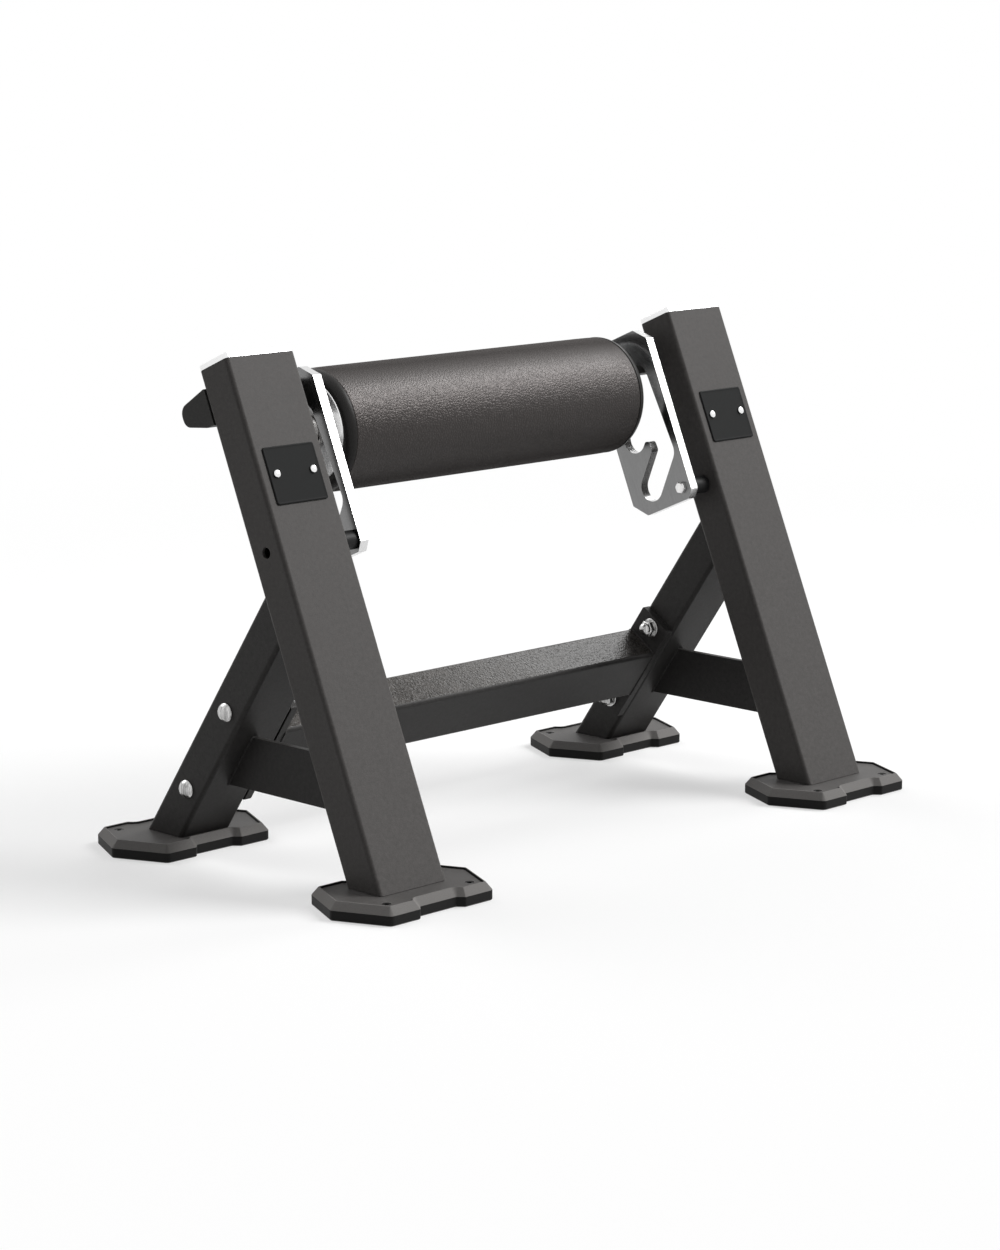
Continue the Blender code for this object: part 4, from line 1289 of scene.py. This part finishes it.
@dataclass
class SlottedPlates:
    """Two slotted plates, each held by a bracket behind the post and a bolt with a spacer."""

    front: float = 0.0115              # behind the post's front, as the next one
    rear: float = 0.113
    bottom: float = 0.380              # up along the post, as the next one
    top: float = 0.602
    slot_radius: float = 0.0175
    channel_foot: tuple[float, float] = (0.038, 0.447)
    channel_top: tuple[float, float] = (0.0455, 0.5445)
    top_notch: tuple[float, float] = (0.084, 0.540)
    middle_notch: tuple[float, float] = (0.079, 0.4755)
    lowest_notch: tuple[float, float] = (0.074, 0.411)
    finger: float = 0.0045             # radius of the fingers' tips
    valley: float = 0.006              # radius where a branch leaves the channel below
    bolt_radius: float = 0.004
    bolt_length: float = 0.050
    bolt_flats: float = 0.0065         # half its head's width across its flats
    bracket_low: float = 0.5518
    bracket_high: float = 0.5940
    seam_end: float = 0.006            # from a bracket's weld to the post's edge

    def outline(self) -> Outline:
        """A plate's outline, with its clipped corners."""
        return rounded([(self.front, 0.390, 0.002), (0.020, self.bottom, 0.002),
                        (0.093, self.bottom, 0.003), (self.rear, 0.398, 0.003),
                        (self.rear, 0.584, 0.003), (0.095, self.top, 0.003),
                        (0.030, self.top, 0.003), (self.front, 0.586, 0.003)])

    def slot(self) -> Outline:
        """The slot: a channel with a branch down to each of two notches and one to the third.

        Returns:
            Its outline.
        """
        radius = self.slot_radius
        reach = radius * 0.9999        # so that the notch's two arcs don't quite meet
        low, high, upper, middle, lowest = map(Vector, (
            self.channel_foot, self.channel_top, self.top_notch, self.middle_notch,
            self.lowest_notch))
        along, top = (high - low).normalized(), (upper - high).normalized()
        down = Vector((1, -1)).normalized()

        def left_of(way: Vector) -> Vector:
            """From a centre line to the slot's edge on its left."""
            return Vector((-way.y, way.x)) * radius

        def branch_end(notch: Vector, way: Vector) -> list[Corner]:
            """The corners of a notch's round end."""
            tip = notch + way * radius
            return [(*(tip - left_of(way)), reach), (*(tip + left_of(way)), reach)]

        front, rear, rise = low + left_of(along), low - left_of(along), left_of(down)
        return rounded([
            (*meeting(front, along, high + left_of(top), top), reach),
            (*meeting(front, along, lowest - rise, down), reach),
            *branch_end(lowest, down),
            (*meeting(rear, along, lowest + rise, down), self.valley),
            (*meeting(rear, along, middle - rise, down), self.finger),
            *branch_end(middle, down),
            (*meeting(rear, along, middle + rise, down), self.valley),
            (*meeting(rear, along, upper - left_of(top), top), self.finger),
            *branch_end(upper, top)], radians(6))

    def bracket(self) -> Outline:
        """The bracket's side view: a lug that tapers to a rounded tip behind the post."""
        back, low = POST_DEPTH + FIT, self.bracket_low
        return rounded([(back, self.bracket_high, 0.0015), (back, low, 0.0015),
                        (0.0615, low, 0.012), (0.0985, 0.5641, 0.012), (0.0985, 0.5857, 0.012)])

    def hexagon_bolt(self) -> Mesh:
        """A hexagon-headed bolt, the seat of its head at z = 0."""
        flats, shank, length = self.bolt_flats, self.bolt_radius, self.bolt_length
        return hexagonal(turned([
            (0, 0.0055), (0.0055, 0.0055), (0.0061, 0.0053), (flats, 0.0048), (flats, 0.0003),
            (0.0061, 0), (shank, 0), (shank, -length + 0.0008), (shank - 0.0008, -length),
            (0, -length)], 60), flats)

    def spacer(self) -> Mesh:
        """A spacer round the plate bolt, its middle at z = 0."""
        return turned([(0.0104, 0.0132), (0.0110, 0.0126), (0.0110, -0.0126), (0.0104, -0.0132),
                       (PLATE_BORE, -0.0132), (PLATE_BORE, 0.0132)], 48, ring=True)

    def build(self) -> None:
        """Builds both plates with what holds them."""
        inner = -POST_WIDTH / 2
        plate_x = inner - PLATE_GAP - PLATE_THICKNESS / 2
        bolts = Fasteners("plate_bolts", "bolt_steel", self.hexagon_bolt(), ZINC_STEEL, pi / 3, 2)
        spacers = Fasteners("plate_spacers", "spacer_plastic", self.spacer(), SPACER_NYLON)
        for side in Side:
            post, sign = post_of(side), side.value
            inwards = Vector((-sign, 0, 0))
            hole = drill(PLATE_BORE, -PLATE_THICKNESS, PLATE_THICKNESS)
            hole.transform(toward(inwards, post.at(sign * plate_x, *PLATE_BOLT)))
            # The plates' side faces take the dark steel, a painted reflection; their cut edges
            # take the bright steel
            settle(seat_at(side.word, "slotted_plate", "polished_steel", "notch_plate"),
                   flat([self.outline(), self.slot()], PLATE_THICKNESS), PLATE_STEEL_PAINTED_REFLECTION,
                   Edge(0.0009, 3), post.matrix @ shifted(sign * plate_x, 0, 0) @ ON_EDGE, [hole],
                   Trim(EDGE_STEEL, 0, 0.5))
            settle(seat_at(side.word, "plate_lug", "frame_paint", "plate_bracket"),
                   flat([self.bracket()], POST_WIDTH + PLATE_GAP - FIT), BRACKET_COAT, BAR_EDGE,
                   post.matrix @ shifted(-sign * (PLATE_GAP - FIT) / 2, 0, 0) @ ON_EDGE)
            for row, name, x in ((bolts, "bolt", plate_x - PLATE_THICKNESS / 2 - FIT),
                                 (spacers, "spacer", inner - PLATE_GAP / 2)):
                row.add(f"{side.word}_plate_{name}", post.at(sign * x, *PLATE_BOLT), inwards)
        bolts.build()
        spacers.build()

    def seams(self) -> Seams:
        """The welds between the brackets and the posts' backs."""
        half = POST_WIDTH / 2 - self.seam_end
        return [([post_of(side).at(x, POST_DEPTH, up) for x in (-half, half)], False)
                for side in Side for up in (self.bracket_low, self.bracket_high)]


# Badges


@dataclass
class Badges:
    """A bare enamelled plate with a lowered rim on the front of each post, held by two rivets."""

    width: float = 0.0745
    height: float = 0.066
    thickness: float = 0.0015
    up: float = 0.4745
    rivet_x: float = 0.0267
    rivet_up: float = 0.4765

    def plate(self) -> Mesh:
        """The plate, z outwards, its back at z = 0."""
        high = self.thickness
        return stacked(rectangle(self.width, self.height, 0.003), [
            (0, 0), (0, high - 0.0006), (0.0004, high - 0.0002), (0.0010, high), (0.0022, high),
            (0.0028, high - 0.0004)])

    def rivet(self) -> Mesh:
        """A domed rivet, the seat of its head at z = 0."""
        return turned(arc(0.0046, 0.0022, radians(15), 7, (0, 0.0005)) + [
            (0.0044, 0), (0.0024, 0), (0.0024, -0.0048), (0, -0.0048)], 36)

    def build(self) -> None:
        """Builds both badges and their four rivets."""
        rivets = Fasteners("badge_rivets", "rivet_steel", self.rivet(), RIVET_STEEL)
        for side in Side:
            post = post_of(side)
            outwards = shifted(0, -FIT, self.up) @ Matrix.Rotation(pi / 2, 4, "X")
            settle(seat_at(side.word, "badge_plate", "badge_plastic", "badge"), self.plate(),
                   BADGE_ENAMEL, None, post.matrix @ outwards)
            for end, x in (("left", -self.rivet_x), ("right", self.rivet_x)):
                rivets.add(f"{side.word}_badge_{end}_rivet",
                           post.at(x, -2 * FIT - self.thickness, self.rivet_up),
                           post.matrix.to_3x3() @ Vector((0, -1, 0)))
        rivets.build()


# Roller


@dataclass
class Roller:
    """The padded roller on its axle, at rest in the top notch."""

    rest: tuple[float, float] = (0.0845, 0.5389)    # of its axis on the left post
    half: float = 0.249
    radius: float = 0.0725
    ring_length: float = 0.0125
    ring_end: float = 0.0614           # radius of the ring's flat outer end
    disc_radius: float = 0.0605
    disc_thickness: float = 0.004
    core_radius: float = 0.0445
    axle_radius: float = 0.016
    shoulder_radius: float = 0.020
    slack: float = 0.0007              # taken off the radius, for the cover to swell
    soft: float = 0.0014               # radius of the cover's shoulders
    held_end: float = 0.006            # of the cover, that can't swell
    held_depth: float = 0.004          # below the skin, what can't swell either
    pressure: float = 16.0
    stiffness: float = 4.0
    bending: float = 0.5
    swell_steps: int = 20
    swell_limit: float = 0.0011
    loops: int = 40                    # of the cover's mesh along the skin

    @property
    def axis(self) -> Matrix:
        """From the roller's own frame, z along its axle to the right, to the bench's."""
        middle = post_of(Side.LEFT).at(SPAN / 2, *self.rest)
        return Matrix.Translation(middle) @ Matrix.Rotation(pi / 2, 4, "Y")

    def cover_profile(self) -> Profile:
        """The cover's (radius, height) points.

        Returns:
            The points from the bore over one end, the soft shoulder and the skin to the other.
        """
        end = self.half - self.ring_length - FIT
        bore = self.core_radius + FIT
        skin, soft = self.radius - self.slack, self.soft
        upper = [(bore + (skin - soft - bore) * share, end) for share in (0, 0.5)]
        upper += arc(soft, soft, radians(15), 7, (skin - soft, end - soft))
        middle = [(skin, (end - soft) * (1 - 2 * index / self.loops))
                  for index in range(1, self.loops)]
        return upper + middle + mirrored(upper)

    def swell(self, cover: Object) -> None:
        """Lets the foam swell the cover a little between its held ends, by a cloth simulation.

        Args:
            cover: The plain cover, which is changed.
        """
        rest = [vertex.co.copy() for vertex in cover.data.vertices]
        end, skin = self.half - self.ring_length - self.held_end, self.radius - self.held_depth
        held = cover.vertex_groups.new(name="held")
        held.add([index for index, spot in enumerate(rest)
                  if abs(spot.z) > end or spot.xy.length < skin], 1.0, "REPLACE")
        cloth = cover.modifiers.new("swelling", "CLOTH")
        settings = cloth.settings
        settings.vertex_group_mass = "held"
        settings.use_pressure = True
        settings.uniform_pressure_force = self.pressure
        settings.effector_weights.gravity = 0.0
        settings.tension_stiffness = settings.compression_stiffness = self.stiffness
        settings.bending_stiffness = self.bending
        cloth.collision_settings.use_collision = False
        cloth.point_cache.frame_start = 1
        cloth.point_cache.frame_end = self.swell_steps
        scene = bpy.context.scene
        for count in range(1, self.swell_steps + 1):
            scene.frame_set(count)
        swollen = cover.evaluated_get(bpy.context.evaluated_depsgraph_get()).to_mesh()
        for vertex, start, moved in zip(cover.data.vertices, rest, swollen.vertices):
            travel = moved.co - start
            if travel.length > self.swell_limit:
                travel *= self.swell_limit / travel.length
            vertex.co = start + travel
        cover.modifiers.remove(cloth)
        cover.vertex_groups.remove(held)
        scene.frame_set(1)

    def build_cover(self) -> None:
        """The leather-like cover over its foam."""
        cover = linked("cover", turned(self.cover_profile(), 96, ring=True))
        self.swell(cover)
        finer = cover.modifiers.new("finer", "SUBSURF")
        finer.levels = finer.render_levels = 1
        piece = settle(Seat("roller_cover", "pad_leather", ("roller_pad",), "roller"),
                       evaluated(cover), COVER_LEATHER, None, self.axis)

    def ring(self) -> Mesh:
        """The moulded end ring, z outwards: a quarter round down to the disc that it holds."""
        length = self.ring_length - FIT
        floor = length - self.disc_thickness
        bore = self.core_radius + FIT
        lip = self.disc_radius + FIT
        drop = self.radius - self.slack + 0.0002 - self.ring_end
        widest = self.ring_end + drop
        return turned([(lip, length - 0.0003), (lip + 0.0003, length),
                       *arc(drop, length, radians(6), 15, (self.ring_end, 0)),
                       (widest, 0.0005), (widest - 0.0005, 0), (bore, 0), (bore, floor),
                       (lip, floor)], 128, True)

    def disc(self) -> Mesh:
        """The bright end disc, z outwards: edges broken, bored for the axle."""
        high = (self.disc_thickness - FIT) / 2
        bore = self.shoulder_radius + 2 * FIT
        return turned([(self.disc_radius, -high), (self.disc_radius, high - 0.0008),
                       (self.disc_radius - 0.0008, high), (bore + 0.0006, high),
                       (bore, high - 0.0006), (bore, -high)], 128, True)

    def axle(self) -> Mesh:
        """The axle, with a shoulder between the plates."""
        plates = SPAN / 2 - POST_WIDTH / 2 - PLATE_GAP
        half, shoulder = plates - FIT, plates - PLATE_THICKNESS - 0.0005
        profile = [(0, half), (self.axle_radius - 0.001, half), (self.axle_radius, half - 0.001),
                   (self.axle_radius, shoulder), (self.shoulder_radius - 0.0004, shoulder),
                   (self.shoulder_radius, shoulder - 0.0004)]
        return turned(profile + mirrored(profile), 96)

    def build(self) -> None:
        """Builds the axle, the roller on it, and dresses the core and bearings."""
        settle(Seat("axle_bar", "axle_steel", ("axle",), "axle"), self.axle(), AXLE_STEEL, None,
               self.axis)
        self.build_cover()
        for side in Side:
            word, sign = side.word, side.value
            flip = Matrix.Rotation(0 if sign > 0 else pi, 4, "X")
            for name, slot, node, mesh, finish, place in (
                    ("ring_moulding", "ring_plastic", "end_ring", self.ring(), RING_RUBBER,
                     self.half - self.ring_length),
                    ("disc_steel", "disc_steel", "end_disc", self.disc(), DISC_STEEL,
                     self.half - self.disc_thickness / 2 + FIT / 2)):
                settle(seat_at(word, name, slot, node, "roller"), mesh, finish, None,
                       self.axis @ shifted(0, 0, sign * place) @ flip)
            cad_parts[f"{word}_bearing"].data.materials[0] = BEARING_STEEL.material()
        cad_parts["roller_core"].data.materials[0] = CORE_STEEL.material()


# Welds


@dataclass
class Welds:
    """Fine painted weld seams where tubes and bars meet."""

    radius: float = 0.0013
    spacing: float = 0.0015
    unevenness: float = 0.12
    seed: int = 11

    def build(self, paths: Seams) -> None:
        """Lays beads along the paths.

        Args:
            paths: Each path's points, and whether it closes on itself.
        """
        points, edges = [], []
        for path, closed in paths:
            first = len(points)
            points += path
            edges += [(index, index + 1) for index in range(first, len(points) - 1)]
            if closed:
                edges.append((len(points) - 1, first))
        lines = bpy.data.meshes.new("seams")
        lines.from_pydata(points, edges, [])
        mesh = GROWTH.grow(GROWTH.beads, lines, LEG_COAT, self.seed, Spacing=self.spacing,
                           Radius=self.radius, Unevenness=self.unevenness)
        settle(Seat("weld_seams", "frame_paint", ()), mesh, LEG_COAT, None)


# Studio


@dataclass
class Studio:
    """A pale floor, a white surround, two far lights, a soft panel and the camera."""

    floor_radius: float = 40.0
    floor_tone: float = 0.94           # as it is seen
    floor_light: float = 0.26          # as it lights the bench
    floor_shown: float = 0.53          # share of its tone that is plain white, near the bench
    fade: tuple[float, float] = (0.8, 3.0)      # where it turns white
    ambient: float = 0.16              # of the surround, on the bench
    lens: float = 97.13                # for a frame of 1000 by 1250
    sensor: float = 36.0
    camera_spot: Triple = (-2.8057, -2.7710, 0.9929)
    camera_turn: Triple = (79.10, 0, -45.125)   # degrees

    def shown(self, graph: Graph) -> NodeSocket:
        """1 for camera, glossy and transmission rays, 0 for light that falls on the bench."""
        path = graph.add("ShaderNodeLightPath").outputs
        seen = graph.math("MAXIMUM", path["Is Camera Ray"], path["Is Glossy Ray"])
        return graph.math("MAXIMUM", seen, path["Is Transmission Ray"])

    def build_floor(self) -> None:
        """The floor: it shows pale, takes the shadows and fades to white far off."""
        shape = bmesh.new()
        bmesh.ops.create_circle(shape, cap_ends=True, segments=96, radius=self.floor_radius)
        floor = linked("floor", mesh_of(shape, "floor"))
        floor.location.z = -FIT
        material = bpy.data.materials.new("studio_floor")
        material.use_nodes = True
        tree = material.node_tree
        tree.nodes.remove(tree.nodes["Principled BSDF"])
        graph = Graph(tree)
        where = graph.add("ShaderNodeTexCoord").outputs["Object"]
        far = graph.spread(graph.vector("LENGTH", where), self.floor_shown, 1.0, *self.fade)
        matt, dim = (graph.add("ShaderNodeBsdfDiffuse", {"Color": (*grey(tone), 1)}).outputs[0]
                     for tone in (self.floor_tone, self.floor_light))
        white = graph.add("ShaderNodeEmission", {"Color": (1, 1, 1, 1), "Strength": 1.0})
        pale = graph.add("ShaderNodeMixShader", {0: far, 1: matt, 2: white.outputs[0]})
        both = graph.add("ShaderNodeMixShader", {0: self.shown(graph), 1: dim, 2: pale.outputs[0]})
        graph.feed(tree.nodes["Material Output"], {"Surface": both.outputs[0]})
        floor.data.materials.append(material)

    def build_world(self) -> None:
        """A white surround that lights the bench only faintly."""
        world = bpy.data.worlds.new("studio")
        bpy.context.scene.world = world
        world.use_nodes = True
        graph = Graph(world.node_tree)
        graph.feed(world.node_tree.nodes["Background"], {
            "Color": (1, 1, 1, 1), "Strength": graph.spread(self.shown(graph), self.ambient, 1.0)})

    def lamp(self, name: str, way: Vector, spread: float, level: float) -> None:
        """A soft light that falls evenly, from far off.

        Args:
            name: Its name.
            way: The direction that it comes from.
            spread: The angle that it fills, as seen from the bench.
            level: How brightly it lights a white face turned to it; 1 is white.
        """
        light = bpy.data.lights.new(name, "SUN")
        light.angle = spread
        light.energy = pi * level
        linked(name, light).matrix_world = toward(way, Vector())

    def panel(self, name: str, spot: Vector, target: Vector, size: float, level: float) -> None:
        """A soft panel beside the bench.

        Args:
            name: Its name.
            spot: Where it stands.
            target: The point that it faces.
            size: Its side.
            level: How brightly it lights a white face there; 1 is white.
        """
        light = bpy.data.lights.new(name, "AREA")
        light.size = size
        light.energy = pi ** 2 * level * (spot - target).length_squared
        linked(name, light).matrix_world = toward(spot - target, spot)

    def build_camera(self) -> None:
        """The camera, at the photograph's viewpoint."""
        data = bpy.data.cameras.new("camera")
        data.lens = self.lens
        data.sensor_width = self.sensor
        camera = linked("camera", data)
        camera.location = self.camera_spot
        camera.rotation_euler = [radians(angle) for angle in self.camera_turn]
        bpy.context.scene.camera = camera

    def build(self) -> None:
        """Builds the studio."""
        self.build_floor()
        self.build_world()
        self.lamp("key", Vector((0.60, -0.45, 0.66)), radians(32), 0.90)
        self.lamp("rear_fill", Vector((-0.12, 0.74, 0.66)), radians(36), 0.34)
        self.panel("side_panel", Vector((1.55, 0.25, 1.55)), Vector((0.15, 0.05, 0.30)), 0.7, 0.30)
        self.build_camera()
        bpy.context.scene.view_settings.view_transform = "Standard"


def main() -> None:
    """Builds the bench and its studio."""
    logging.basicConfig(level=logging.INFO, format="%(message)s")
    seams = []
    for side in Side:
        part = SideFrame(side)
        part.build()
        seams += part.seams()
    Feet().build()
    for part in (Crossbar(), SlottedPlates()):
        part.build()
        seams += part.seams()
    Welds().build(seams)
    Badges().build()
    Roller().build()
    Studio().build()


if __name__ == "__main__":
    main()
